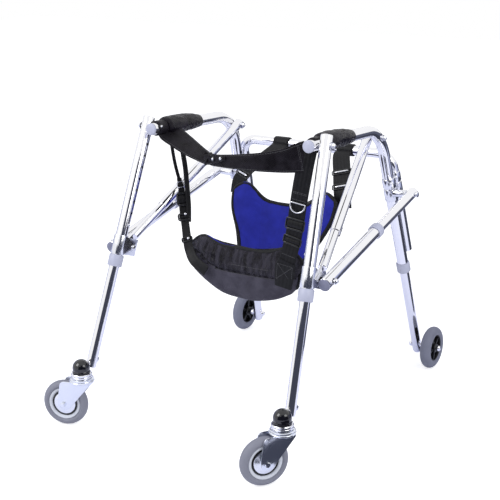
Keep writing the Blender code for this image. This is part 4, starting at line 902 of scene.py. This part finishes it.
# %% Front wheels
FRONT_TYRE = tyre_outline(31, 13, 12.5)
FRONT_RIM = [(28, 8), (29, 10.2), (30.8, 9.6)]
BOSS = [(4.3, 11.8), (10, 11.8), (11.2, 10.4), (11.8, -10.4), (10.6, -11.8), (4.3, -11.8)]
RIB = rounded([(10.5, -2.2), (28.4, -3), (28.4, 3), (10.5, 2.2)], 1, 3)
for word, side in SIDES:
    wheel = aim(joint_of["front_roll_" + word]["pos_m"], (side, 0, 0))
    tyre = lathe("front_tyre_rubber_" + word, FRONT_TYRE, wheel, 112, True)
    attach(tyre, "front_wheel_" + word, front_rubber, "dark_tyre", "front_tyre_" + word, angle=50)
    parts = [lathe("wheel_rim", mirrored(FRONT_RIM), wheel, 72, True)]
    parts.append(lathe("wheel_web", mirrored([(11.5, 1.5), (28.2, 1.5)]), wheel, 72, True))
    parts.append(lathe("wheel_boss", BOSS, wheel, 40, True))
    for k in range(5):
        turned = wheel @ Matrix.Rotation(2 * pi * k / 5, 4, "Z")
        parts.append(plate("wheel_rib", RIB, -8.5, 8.5, turned))
    hub = join("front_wheel_hub_" + word, parts)
    attach(hub, "front_wheel_" + word, black_hub, "black_hub", "front_hub_" + word, angle=38)

# %% [markdown]
# ## Fasteners
# A joint reads as real when its bolt does: a washer, a hexagon nut with its
# corners turned off, and a little thread beyond it. One nut is modelled as a
# lathe of six sides for the hexagon, and it is placed wherever a stud ends.

# %% Nuts and bolts


DOME = [(0, 0), (0.78, 0), (0.74, 2), (0.45, 3.6), (0, 4.2)]
THREAD_END = [(0, 0), (0.50, 0), (0.50, 2.2), (0.40, 2.8), (0, 2.8)]


def nut(at, along, size=6.2, tall=4.5, tip=DOME):
    """A washer and a nut, standing on a face, with a dome or a thread's end on it."""

    def outline(base, pairs):
        return [(size * radius, base + height) for radius, height in pairs]

    washer = outline(0, [(0, 0), (1.35, 0), (1.38, 0.4), (1.30, 1), (0, 1)])
    hexagon = outline(0, [(0, 1), (1, 1), (1.02, 1.6)])
    hexagon += outline(tall, [(1.02, 0), (0.86, 0.8), (0, 0.8)])
    shapes = ((washer, 32), (hexagon, 6), (outline(tall, tip), 24))
    return [lathe("nut", shape, aim(at, along), steps) for shape, steps in shapes]


def stud(at, along, reach, sink=0.0, **kind):
    """A plain shank from a pivot out to its nut, which may stand a little lower."""
    shank = lathe("shank", [(0, 4), (3.2, 4), (3.2, reach), (0, reach)], aim(at, along), 20)
    return [shank] + nut(at + along * mm(reach - sink), along, **kind)


for word, side in SIDES:
    out = side_way(side, 1, 0, 0)
    bend_pivot = side_point(side, 0, *BEND_PIVOT)
    parts = stud(side_point(side, 0, *ARM_PIVOT), out, 40)
    parts += stud(bend_pivot, -out, 36.8, 0.1, tip=THREAD_END)
    parts += nut(bend_pivot + out * 0.0125, out, size=5.6)
    attach(join("frame_bolts_" + word, parts), "frame", zinc, "bright_steel", angle=38)

# %% [markdown]
# ## Sewn parts
# The sling is one padded piece of cloth: it drops behind the user, narrows
# between the legs and rises again in front. Its middle surface is the same
# smooth surface that the CAD solid has. Outside it is charcoal cloth with a
# gathered nylon wall at the back, and inside it has a blue lining.

# %% The sling's middle surface
# From the back to the front: y and height in the middle, y and height at the edge, half width.
SLING = [
    (32, 366, 42, 346, 141), (19, 318, 30, 330, 141), (28, 264, 34, 316, 128),
    (78, 256, 78, 308, 94), (130, 262, 130, 310, 80), (176, 306, 170, 352, 103),
    (202, 365, 190, 398, 129), (216, 422, 204, 432, 134),
]
centre_line = smooth_path([mm((0, y, height)) for y, height, *_ in SLING], 12)
edge_line = smooth_path([mm((0, y, height)) for _, _, y, height, _ in SLING], 12)
width_line = smooth_path([mm((width, 0, 0)) for *_, width in SLING], 12)


def hill(distance, width):
    """A smooth hill of height 1, given the distance from its top."""
    return exp(-((distance / width) ** 2))


def waves(*spot):
    """Smooth noise at a spot, between about -1 and 1."""
    return noise.noise(Vector(spot))


def smoothstep(low, high, value):
    t = max(0.0, min(1.0, (value - low) / (high - low)))
    return t * t * (3 - 2 * t)


def sling_point(a, b):
    """The middle surface: a runs across from -1 to 1, b from the rear edge to the front edge."""
    point = blend_along(centre_line, b).lerp(blend_along(edge_line, b), abs(a) ** 2.4)
    rise = 0.024 * max(0.0, 1 - b / 0.14) + 0.036 * max(0.0, (b - 0.72) / 0.28)
    point.x = a * blend_along(width_line, b).x - 0.001
    point.z += hill(abs(a) - 0.76, 0.24) * rise
    point.z -= 0.020 * max(0.0, a) ** 2 * max(0.0, 1 - abs(b - 0.25) / 0.25)
    return point + SHIFT


def sling_normal(a, b, step=0.01):
    """The direction from the outside of the sling to its inside."""
    across = sling_point(min(a + step, 1), b) - sling_point(max(a - step, -1), b)
    along = sling_point(a, min(b + step, 1)) - sling_point(a, max(b - step, 0))
    return across.cross(along).normalized()


# %% [markdown]
# The gathers are real shape, not only bump: puckers that fan out from the seam,
# stronger towards the left, and two soft quilted swellings of the padding. The
# grid is wrapped over the rim, so inside and outside are one closed skin.

# %% Sling body
ACROSS, ALONG = 150, 128


def seam_at(a):
    """Where the rear wall's seam runs: it climbs towards both ends."""
    return 0.150 - 0.070 * smoothstep(0.35, 0.95, -a) - 0.020 * smoothstep(0.6, 1.0, a)


def padding(a, b):
    """The share of the padding's thickness: it thins towards the rim."""
    return min(1.0, 7 * (1 - abs(a)) + 0.25, 10 * b + 0.35, 9 * (1 - b) + 0.4)


def outside_depth(a, b):
    """How far the outer face stands from the middle surface."""
    seam, left = seam_at(a), smoothstep(0.1, 0.5, -a)
    wall = smoothstep(0.0, 0.03, b) * (1 - smoothstep(seam - 0.02, seam, b))
    folds = waves(a * 9, b * 26 + 3, 1.7) + 0.6 * waves(a * 24 + b * 30, b * 50, 6.1)
    pucker = sin(a * 62 + 14 * b + 3.0 * waves(a * 7, 0.3, 2.0)) * hill(b - seam, 0.045)
    ridges = max(1 - abs(waves(a * 15 + 4 * b, b * 20, 8.2)) * 3.2, -0.6)
    depth = 0.009 * padding(a, b)
    depth -= 0.0040 * hill(b - seam, 0.009) * (1 - smoothstep(0.85, 0.98, abs(a)))
    depth += wall * (0.0024 * folds * (1 + 0.6 * left) + 0.0014 * pucker + 0.0011 * ridges)
    depth += wall * (0.0040 * left * hill(a + 0.62, 0.22) - 0.0022 * hill(a + 0.16, 0.012))
    return depth + 0.0012 * smoothstep(seam, seam + 0.06, b) * waves(a * 4.0, b * 9.0, 9.3)


def inside_depth(a, b):
    """How far the lining stands from the middle surface."""
    quilt = 0.0012 * abs(sin(a * 7.0)) ** 0.5 + 0.0006 * waves(a * 8, b * 12, 4.4)
    return (0.0078 + quilt) * padding(a, b)


def column(i):
    """Where a column of the grid is: they stand closer towards the sides."""
    a = -1 + 2 * i / ACROSS
    return copysign(1 - (1 - abs(a)) ** 1.15, a)


columns = [column(i) for i in range(ACROSS + 1)]
rings = []
for b in (j / ALONG for j in range(ALONG + 1)):
    ring = [sling_point(a, b) - sling_normal(a, b) * outside_depth(a, b) for a in columns]
    ring += [sling_point(a, b) + sling_normal(a, b) * inside_depth(a, b) for a in reversed(columns)]
    rings.append(ring)
sling = loft("sling_seat", rings)
for look in (sling_gray, lining_blue, wall_nylon):
    sling.data.materials.append(look)
uv = sling.data.uv_layers.active.data
girth, reach = lengths(rings)
for face in sling.data.polygons:
    u, v = (sum(uv[k].uv[axis] for k in face.loop_indices) / face.loop_total for axis in (0, 1))
    u /= girth
    row = min(range(len(reach)), key=lambda k: abs(reach[k] - v))
    if face.loop_total <= 4 and u > 0.505:
        face.material_index = 1
    elif face.loop_total > 4 or row < seam_at(-1 + 2 * u / 0.5) * ALONG:
        face.material_index = 2
seams = []
for shift, first, last in ((0.006, -78, 84), (-0.042, -14, 52)):
    line = []
    for a in (k / 100 for k in range(first, last)):
        b = seam_at(a) + shift
        line.append(sling_point(a, b) - sling_normal(a, b) * (outside_depth(a, b) + 0.0001))
    seams.append(stitch_line(line))
sling = join("sling_seat", [sling] + seams)
attach(sling, "frame", None, "black_cloth", "seat_sling", angle=60)
print("sling", len(sling.data.polygons), "faces")

# %% [markdown]
# A binding tape closes the raw edge all round, and it is what draws the dark
# outline of the sling. It follows the rim as a soft rounded strip. On the left
# of the rear wall the blue lining is turned over it.

# %% Sling binding
rim = [(-0.985 + 1.97 * i / 60, 0.006) for i in range(60)]
rim += [(0.985, 0.006 + 0.988 * j / 80) for j in range(80)]
rim += [(-a, 1 - b) for a, b in rim]
path = [sling_point(a, b) for a, b in rim]
count = len(path)
smooth = [sum((path[(k + d) % count] for d in range(-2, 3)), Vector()) / 5 for k in range(count)]
rings = []
for k, point in enumerate(smooth):
    run = (smooth[(k + 1) % count] - smooth[k - 1]).normalized()
    face = square_to(run, sling_normal(*rim[k]))
    tall = face * (0.0047 + 0.0002 * sin(k * 1.9))
    rings.append(oval(point, run.cross(face) * 0.0048, tall, 16, 0.7))
binding = loft("sling_binding", rings + rings[:1], close=False)
for look in (webbing, lining_blue):
    binding.data.materials.append(look)
for face in binding.data.polygons:
    centre = face.center - SHIFT
    on_left = -0.095 < centre.x < -0.024 and centre.y < 0.06
    if on_left and face.normal.dot(Vector((0, 0.75, 0.65))) > 0.2:
        face.material_index = 1
attach(binding, "frame", None, "black_webbing", angle=60)

# %% [markdown]
# Each armrest wears a sleeve of padded nylon. It is fat at the back and tapers
# at the front, and it is pulled flat underneath, where it is sewn shut along
# the tube.

# %% Armrest pads
PAD_PROFILE = [0.95, 1.05, 1.12, 1.13, 1.12, 1.08, 1.02, 0.96, 0.90, 0.80, 0.62, 0.40, 0.15]
PAD_START, PAD_END = 0.0155, 0.1465
SLEEVE_INSIDE, SLEEVE_THIN, SLEEVE_FAT = 0.0131, 0.0133, 0.0215
rows, count = 90, 64
for word, side in SIDES:
    up, out = side_way(side, 0, 0, 1), side_way(side, 1, 0, 0)
    rings = []
    for share in (j / rows for j in range(rows + 1)):
        y = PAD_START + (PAD_END - PAD_START) * share
        fat = blend_along(PAD_PROFILE, share) * sqrt(1 - (1 - min(1.0, share / 0.07)) ** 2)
        ring = []
        for k in range(count):
            c, s = cos(2 * pi * k / count), sin(2 * pi * k / count)
            pulled_flat = 1 - max(0.0, -s) * 0.55
            outer = SLEEVE_THIN + (SLEEVE_FAT - SLEEVE_THIN) * fat * pulled_flat
            wave = 0.0013 * waves(c * 2.2, s * 2.2 + side, y * 45)
            wave += 0.0007 * waves(c * 4.5, s * 4.5 + side, y * 110)
            wave += 0.0006 * sin(y * 420 + 3 * c) * hill(s + 0.55, 0.35)
            outer = max(0.0134, outer + wave * min(1.0, 4 * share, 4 * (1 - share)))
            ring.append(arm_point(side, y) + out * (outer * c) + up * (outer * s))
        rings.append(ring)
    for y in (PAD_END, PAD_START):
        rings.append(oval(arm_point(side, y), out * SLEEVE_INSIDE, up * SLEEVE_INSIDE, count))
    pad = loft("armrest_sleeve_" + word, rings + rings[:1], close=False)
    attach(pad, "frame", pad_black, "black_cloth", "armrest_pad_" + word, angle=60)

# %% [markdown]
# The back band is coated nylon over a thin foam. It stands upright behind the
# user, and its left end is closed by a flap that twists flat towards the left
# armrest and is held by two snaps. Both are given by their edges.

# %% Shapes and fittings of the back band
BAND_LOW = [
    (-60.6, -17.3, 554), (-34.8, -31, 554.1), (4, -38.2, 554.8), (37.6, -39.2, 555.2),
    (82.9, -35.7, 555.5), (118, -26, 555.5), (140, -18.5, 555.8), (156.1, -10.1, 555.9),
    (169, -3.5, 556.5),
]
BAND_HIGH = [
    (-62, -18, 572), (-32, -31.4, 578), (0.7, -37.3, 582.6), (38.1, -39.2, 587.4),
    (83.2, -35.7, 594.2), (122.8, -24.1, 601.7), (141.5, -16.7, 608.3), (160, -8.5, 617),
    (174, -2, 621.5),
]
FLAP_NEAR = [
    (-192, -12, 607.5), (-183.3, -12, 596.5), (-153, -12, 580.7), (-121.8, -11, 566.4),
    (-81.8, -14, 555), (-54.3, -26, 554.8), (-29.7, -36.5, 560.9), (-9.1, -42.5, 567.6),
    (5, -43.5, 572.5),
]
FLAP_FAR = [
    (-185, 46, 608.5), (-161.3, 46, 604.7), (-136.4, 40, 594.5), (-103.9, 26, 583.1),
    (-71.3, 4, 577.3), (-42.2, -22, 576.9), (-23.7, -37.5, 580.4), (-7.4, -42.5, 581.6),
    (5.2, -43.5, 579.5),
]


def band_shape(share, u, h):
    """Foam that swells between the stitched channels, with a few soft folds."""
    folds = waves(share * 16, u * 1.2, 3.0 if h > 0 else 8.0)
    return -0.0008 * hill(abs(u) - 0.84, 0.05) + 0.0008 * folds * (1 - u * u)


def flap_shape(share, u, h):
    """Thin folded cloth: long creases that gather towards the snaps."""
    gather = 0.4 + 0.6 * smoothstep(0.35, 0.7, share)
    creases = waves(share * 5, u * 2.4, 1.0) + 0.5 * waves(share * 9, u * 5.0, 4.0)
    return 0.0024 * gather * creases * (1 - 0.6 * u * u)


def strip_frame(strip, share, towards=Vector((0, -1, 0))):
    """(point, width direction, run, face) of a strip; its face looks towards a direction."""
    path, across = strip[:2]
    spot = min(int(share * (len(path) - 1)), len(path) - 2)
    run = run_between(path, spot - 1, spot + 2)
    wide = square_to(run, blend_along(across, share))
    face = run.cross(wide)
    return blend_along(path, share), wide, run, face if face.dot(towards) > 0 else -face


def on_strip(strip, share, v, proud):
    """A point on the face of a strip that looks at the camera, and that face's direction."""
    point, wide, _, face = strip_frame(strip, share, back)
    return point + wide * v + face * proud, face


def share_where(strip, miss):
    """The share of a strip's length where a measure of its points is least."""
    return min(range(201), key=lambda k: miss(blend_along(strip[0], k / 200))) / 200


def edge_stitches(strip, inset, proud, first, last):
    """Two rows of stitches along the edges of a strip, between two sixtieths of its length."""
    rows = []
    for v in (-inset, inset):
        shares = [k / 60 for k in range(first, last)]
        spots = [(share, v * blend_along(strip[2], share), proud) for share in shares]
        rows.append(stitch_line([on_strip(strip, *spot)[0] for spot in spots]))
    return rows


def snap(at, face, size=3.0):
    """A press stud: a bright dome in a dark ring."""
    outline = [(0, -0.6), (size * 1.95, -0.6), (size * 1.95, 0.4), (size * 1.6, 1.1), (0, 1.1)]
    ring = lathe("snap_ring", outline, aim(at, face), 32, look=black_plastic)
    outline = [(0, 0.9), (size, 0.9)]
    for angle in (radians(15 * k) for k in range(1, 6)):
        outline.append((size * cos(angle), 0.9 + size * 0.75 * sin(angle)))
    outline.append((0, 0.9 + size * 0.75))
    return [ring, lathe("snap_dome", outline, aim(at, face), 28, look=zinc)]


# %% Back band
band = from_edges(BAND_LOW, BAND_HIGH)
pieces = [loft("band_body", strip_sections(*band, 0.0058, 5.0, 64, band_shape), look=band_black)]
pieces += edge_stitches(band, 0.42, 0.0022, 6, 58)
for share in (0.885, 0.905):
    height = blend_along(band[2], share) * 0.44
    line = [on_strip(band, share, height * v / 6, 0.0027)[0] for v in range(-6, 7)]
    pieces.append(stitch_line(line))
flap = from_edges(FLAP_NEAR, FLAP_FAR)
pieces += [loft("band_flap", strip_sections(*flap, 0.0030, 5.0, 56, flap_shape), look=band_black)]
pieces += edge_stitches(flap, 0.43, 0.0012, 2, 44)
for spot in ((-29, -39, 571.9), (-5.3, -43, 576.2)):
    spot = Vector(mm(spot)) + SHIFT
    share = share_where(flap, lambda point: (point - spot).length)
    pieces += snap(*on_strip(flap, share, 0.0, 0.0021))

# The keeper is a loop of webbing round the flap.
share = share_where(flap, lambda point: abs(point.x - SHIFT.x + 0.050))
at, face = on_strip(flap, share, 0.0, 0.0)
wide = blend_along(flap[1], share)
half = blend_along(flap[2], share) / 2 + 0.0016
run = face.cross(wide).normalized()
rings = []
for angle in (2 * pi * k / 32 for k in range(33)):
    middle = at + wide * (half * cos(angle)) + face * (0.0038 * sin(angle))
    outward = (wide * cos(angle) + face * sin(angle)).normalized()
    rings.append(oval(middle, run * 0.0045, outward * 0.0008, 8))
pieces.append(loft("keeper", rings, False, webbing))

# At both armrests the band is wrapped three quarters round the tube.
for word, side in SIDES:
    up, out = side_way(side, 0, 0, 1), side_way(side, 1, 0, 0)
    rings = []
    for j in range(30):
        y = -0.0145 + 0.0290 * j / 29
        edge = min(1.0, 0.45 + 6 * min(j, 29 - j) / 29)
        outer, inner = [], []
        for angle in (radians(60) + radians(225) * k / 36 for k in range(37)):
            way = out * cos(angle) + up * sin(angle)
            crease = 0.0007 * waves(angle * 1.5, y * 90, side * 3.0)
            outer.append(arm_point(side, y) + way * (SLEEVE_THIN + (0.0030 + crease) * edge))
            inner.append(arm_point(side, y) + way * SLEEVE_INSIDE)
        rings.append(outer + inner[::-1])
    pieces.append(loft("wrap", rings, look=band_black))
stud_way = side_way(-1, -1, 0, 0) * 0.75 + side_way(-1, 0, 0, 1) * 0.35 + Vector((0, -0.2, 0))
stud_way.normalize()
pieces += snap(arm_point(-1, -0.0085) + stud_way * 0.0160, stud_way, 2.6)
cover = join("back_band_cover", pieces)
attach(cover, "frame", None, "black_cloth", "back_band", angle=60)
print("band", len(cover.data.polygons), "faces")

# %% [markdown]
# Straps are plain webbing. They are modelled directly as thin strips, because a
# cloth simulation would lose their flat weave. Each slide is a moulded frame,
# and the webbing humps over its middle and dives under its two outer bars, so
# the slides look threaded.

# %% Slides, rings and humps


def bar_between(start, end, tall, deep, face, look):
    """A moulded bar with an oval section."""
    side_on = (end - start).normalized().cross(face).normalized()
    rings = []
    for share in (k / 8 for k in range(9)):
        pinch = min(1.0, 0.35 + 5 * min(share, 1 - share)) / 2
        at = start.lerp(end, share)
        rings.append(oval(at, side_on * (tall * pinch), face * (deep * pinch), 16))
    return loft("bar", rings, look=look)


def slide_buckle(
    strip, share, width, length, look=black_plastic, proud=2.2, tall=5.0, deep=4.2, hump=True
):
    """A slide on a strap: two outer bars, two sides and the webbing over its middle."""
    width, length, proud, tall, deep = mm((width, length, proud, tall, deep))
    point, wide, run, face = strip_frame(strip, share)
    point = point + face * proud
    across, along = wide * (width / 2), run * (length / 2)
    parts = []
    for out, half, slim, flat in ((along, across, 1.0, 1.0), (across, along, 0.7, 0.9)):
        for middle in (point - out, point + out):
            ends = (middle - half, middle + half)
            parts.append(bar_between(*ends, tall * slim, deep * flat, face, look))
    if hump:
        rings = []
        for k in range(13):
            spot = k / 12 - 0.5
            lift = 0.0034 * cos(pi * spot) ** 0.7 if 0 < k < 12 else 0.0
            at = point + run * (spot * (length - tall)) + face * (lift - 0.0012)
            rings.append(oval(at, wide * (width / 2 - 0.0022), face * 0.0011, 24, 0.3))
        parts.append(loft("hump", rings, look=webbing))
    return parts


def wire_ring(strip, share, half, length, thick, tip):
    """A D ring: a straight bar under the webbing and a round bow below it."""
    point, wide, run, face = strip_frame(strip, share)
    lean = (run + face * tip).normalized()
    point = point + face * 0.0030
    bow = [point - wide * (half * k / 4) for k in range(4)]
    for k in range(25):
        drop = length * sin(pi * k / 24) ** 0.8 if 0 < k < 24 else 0.0
        bow.append(point - wide * (half * cos(pi * k / 24)) + lean * drop)
    bow += [point + wide * (half * k / 4) for k in (3, 2, 1, 0)]
    return loft("wire_ring", circle_rings(bow, thick, 14), look=zinc)


def strap(points, across, widths, thickness=0.0026, creases=0.0):
    """Webbing through smooth points: the strip that fittings are set on, and its mesh."""
    path = [point + SHIFT for point in smooth_path(points, 14)]

    def wrinkle(share, u, h):
        return creases * waves(share * 30, u, 2.0)

    rings = strip_sections(path, across, widths, thickness, 7.0, 32, wrinkle)
    return (path, across), loft("strip", rings, look=webbing)


def share_at(strip, height):
    """The share of a strip's length at a height."""
    return share_where(strip, lambda point: abs(point.z - height))


# %% Right rear strap
RIGHT_PATH = [
    (176.4, -5, 603), (170.2, -6, 573.1), (165.8, -6, 550.2), (158.4, -5, 514.3),
    (152.7, -4.5, 482.5), (148.1, -4.5, 452.6), (142.3, -5, 418.1), (132.9, -5.5, 382.6),
    (126.2, -6, 356),
]
RIGHT_ACROSS = [
    (0.95, 0.2, 0.05), (0.97, 0.15, 0.08), (0.98, 0.12, 0.1), (0.98, 0.08, 0.12),
    (0.98, 0.05, 0.15),
]
PATCH = [(129, -6.8, 366), (123.5, -5.8, 349), (120.5, -4, 332), (116.5, -3, 307)]
strip, mesh = strap(mm(RIGHT_PATH), RIGHT_ACROSS, 0.037, creases=0.0006)
pieces = [mesh, wire_ring(strip, share_at(strip, 0.4930), 0.016, 0.019, 0.0014, 0.25)]
pieces += slide_buckle(strip, share_at(strip, 0.4480), 40, 22)
pieces += slide_buckle(strip, share_at(strip, 0.4130), 39, 16)
for height in (0.5140, 0.5110, 0.4990, 0.3790):
    at, wide, run, face = strip_frame(strip, share_at(strip, height))
    pieces.append(stitch_line([at + face * 0.0014 + wide * (0.0155 * k / 6) for k in range(-6, 7)]))
strip, mesh = strap(mm(PATCH), [(0.99, 0.02, 0.13)] * 2, mm([40, 47, 45, 40]), 0.0034)
pieces.append(mesh)
at, wide, run, face = strip_frame(strip, 0.5)
spots = ((-0.0175, -0.017), (0.0175, -0.017), (0.0175, 0.019), (-0.0175, 0.019))
corners = [at + face * 0.0018 + wide * x + run * y for x, y in spots]
for a, b in ((0, 1), (1, 2), (2, 3), (3, 0), (0, 2), (1, 3)):
    pieces.append(stitch_line([corners[a].lerp(corners[b], k / 8) for k in range(9)]))
straps = join("rear_webbing_right", pieces)
attach(straps, "frame", None, "black_webbing", "rear_strap_right", angle=50)

# %% Left rear straps
LEFT_PATH = [
    (-186.9, 62, 492.3), (-180.9, 61, 470.4), (-176, 57, 444.6), (-167.1, 49, 415.5),
    (-156.9, 40, 391.3), (-145.5, 28, 369), (-129, 12, 350), (-108, 0, 330), (-74, -5, 313),
]
LEFT_ACROSS = [
    (0.7, 0.7, 0.1), (0.8, 0.6, 0.0), (0.85, 0.50, 0.05), (0.85, 0.35, 0.25), (0.75, 0.1, 0.65),
]
LEFT_WIDTHS = [10, 14, 17, 18, 18, 19, 21, 23, 24]
LEG_A = [(-198.5, 50, 593), (-196.5, 54, 556), (-193.5, 59, 521.3), (-186.9, 62, 491)]
LEG_B = [
    (-174.5, 56, 596), (-172.8, 60, 550.4), (-169, 62, 516.8), (-164, 60.5, 468.1),
    (-158.5, 56, 435.8), (-153, 47, 400),
]
strip, mesh = strap(mm(LEFT_PATH), LEFT_ACROSS, mm(LEFT_WIDTHS), creases=0.0009)
pieces = [mesh]
for height, *slide in (
    (0.4790, 15, 12, zinc, 1.6, 3.0, 3.4),
    (0.4470, 21, 26, black_plastic, 3.0, 7.0, 7.0),
    (0.4090, 25, 13, black_plastic, 2.4, 5.5, 6.0),
    (0.3660, 22, 10, black_plastic, 2.0, 4.5, 5.0),
):
    pieces += slide_buckle(strip, share_at(strip, height), *slide)
for height in (0.4140, 0.3660):
    at, wide, run, face = strip_frame(strip, share_at(strip, height))
    spot = aim(at + face * 0.0052 + wide * 0.0035, face)
    outline = [(0, 0), (3, 0), (2.8, 1), (1.6, 1.8), (0, 2)]
    pieces.append(lathe("rivet", outline, spot, 20, look=zinc))
pieces.append(strap(mm(LEG_A), [(0.75, 0.65, 0)] * 2, 0.0075)[1])
pieces.append(strap(mm(LEG_B), [(0.85, 0.50, 0)] * 2, 0.0110)[1])
straps = join("rear_webbing_left", pieces)
attach(straps, "frame", None, "black_webbing", "rear_strap_left", angle=50)

# %% [markdown]
# The front straps hang from loops round the crossbar and carry bright wire
# slides. A loop is a band of webbing that fits the bar with a little room.

# %% Front straps
for word, side in SIDES:
    bar = Vector((side * 0.084, crossbar_middle.y - SHIFT.y, crossbar_middle.z))
    points = [bar + Vector((0, -0.0137, -0.0005)), bar + Vector((side * 0.003, -0.032, -0.009))]
    low = ((0.110, 0.269, 0.497), (0.131, 0.231, 0.468), (0.138, 0.222, 0.428))
    points += [(side * x, y, height) for x, y, height in low]
    strip, mesh = strap(points, [(1.0, side * 0.05 * k, 0.0) for k in range(4)], 0.040)
    rings = []
    for angle in (2 * pi * k / 40 for k in range(41)):
        away = Vector((0, -cos(angle), sin(angle)))
        at = bar + SHIFT + away * mm(SLIM + 1.8)
        rings.append(oval(at, Vector((0.020, 0, 0)), away * 0.0013, 16, 0.25))
    pieces = [mesh, loft("loop", rings, False, webbing)]
    for share in (0.50, 0.71):
        pieces += slide_buckle(strip, share, 43, 12, black_plastic, 1.6, 3.6, 3.6, False)
        at, wide, run, face = strip_frame(strip, share)
        at, half = at + face * 0.0034, wide * 0.0155
        pieces.append(bar_between(at - half, at + half, 0.0042, 0.0030, face, zinc))
    straps = join("front_webbing_" + word, pieces)
    attach(straps, "frame", None, "black_webbing", "front_strap_" + word, angle=50)
print("straps done")

# %% [markdown]
# ## Studio
# A white sweep and broad, even light, as in a catalogue picture. The background
# is white because the floor and the world say so to the camera, and not because
# more light falls on the object. Mirrors see a white world too, but a dim and
# bluish floor, which gives the lower tubes their contrast.

# %% Floor and world


def rays_seen(tree):
    """The Light Path's outputs, and whether a ray comes from the camera or through a mirror."""
    rays = add_node(tree, "LightPath", {}).outputs
    seen = maths(tree, "MAXIMUM", rays["Is Camera Ray"], rays["Is Glossy Ray"])
    return rays, maths(tree, "MAXIMUM", seen, rays["Is Transmission Ray"])


floor = fresh("studio_floor", bpy.ops.mesh.primitive_plane_add, size=14)
settle(floor, Matrix.Translation((0, 0, -0.0006)))
floor_look, tree, shader = principled("white floor", (0.86, 0.86, 0.87), {"Roughness": 0.9})
rays, seen = rays_seen(tree)
shown = mixed(tree, rays["Is Camera Ray"], (0.10, 0.12, 0.28, 1), (0.62, 0.62, 0.62, 1))
plug(tree, shader, {"Base Color": (0.86, 0.86, 0.87, 1), "Specular IOR Level": 0.1})
plug(tree, shader, {"Emission Color": shown, "Emission Strength": seen})
floor.data.materials.append(floor_look)

world = bpy.data.worlds.new("studio")
world.use_nodes = True
tree = world.node_tree
glow = mixed(tree, rays_seen(tree)[1], (0.60, 0.61, 0.64, 1), (1, 1, 1, 1))
plug(tree, tree.nodes["Background"], {"Color": glow})
bpy.context.scene.world = world

# %% [markdown]
# Two large lamps model the shapes: a key from the upper left behind the camera
# and a weaker fill from the right. Chrome is nearly invisible in a white room,
# so dark and gray cards stand outside the picture, as a product photographer
# sets them. Only mirrors see them: they neither show nor cast shadows.

# %% Lamps and cards
LAMPS = (("key", (-1.6, -2.4, 2.6), 1.8, 46), ("fill", (2.6, -0.6, 1.9), 1.6, 22))
for name, at, size, power in LAMPS:
    data = bpy.data.lights.new(name, "AREA")
    data.energy, data.size = power, size
    lamp = bpy.data.objects.new(name, data)
    lamp.location = at
    lamp.rotation_euler = (Vector((0, 0, 0.3)) - Vector(at)).to_track_quat("-Z", "Y").to_euler()
    bpy.context.scene.collection.objects.link(lamp)


def card(name, spot, tone):
    """A bluish card whose points spot(u, v) gives, for u and v from 0 to 1."""
    grid = {"x_subdivisions": 36, "y_subdivisions": 1, "size": 1}
    made = fresh(name, bpy.ops.mesh.primitive_grid_add, **grid)
    for vert in made.data.vertices:
        vert.co = spot(vert.co.x + 0.5, vert.co.y + 0.5)
    look = bpy.data.materials.new(name)
    look.use_nodes = True
    tree = look.node_tree
    glow = add_node(tree, "Emission", {"Color": (tone, tone * 1.08, tone * 1.55, 1)})
    plug(tree, tree.nodes["Material Output"], {"Surface": glow.outputs[0]})
    settle(made, None, look)
    made.visible_camera = made.visible_diffuse = False
    made.visible_shadow = made.visible_transmission = False


def upright(first, last, distance, top):
    """Points of a curved upright card between two bearings in degrees."""

    def spot(u, v):
        bearing = first + (last - first) * u
        way = radians(bearing)
        height = v * (top(bearing) if callable(top) else top)
        return sin(way) * distance, -cos(way) * distance, height

    return spot


def on_floor(low, high):
    """Points of a card that lies on the floor between two (x, y) corners."""
    return lambda u, v: (low[0] + (high[0] - low[0]) * u, low[1] + (high[1] - low[1]) * v, 0.002)


def low_card_top(bearing):
    """The low card hides the room from the lower tubes only, all the way round."""
    off = radians(bearing - 32)
    return 0.33 + 1.2 * tan(asin(max(0.0, cos(off)) * sin(radians(18))))


card("card_camera", upright(19, 55, 1.65, 1.9), 0.06)
card("card_low", upright(-9, 88, 1.20, low_card_top), 0.055)
card("card_right_gray", upright(100, 132, 1.9, 0.95), 0.45)
card("card_far_right", upright(132, 202, 1.9, 0.62), 0.10)
card("card_far_left", upright(-150, -82, 1.9, 0.70), 0.42)
card("card_floor_front", on_floor((0.42, 0.39), (2.0, 2.2)), 0.05)
card("card_floor_ahead", on_floor((-1.8, 0.95), (0.42, 2.2)), 0.22)
card("card_floor_fork", on_floor((0.318, -0.60), (0.85, -0.22)), 0.06)
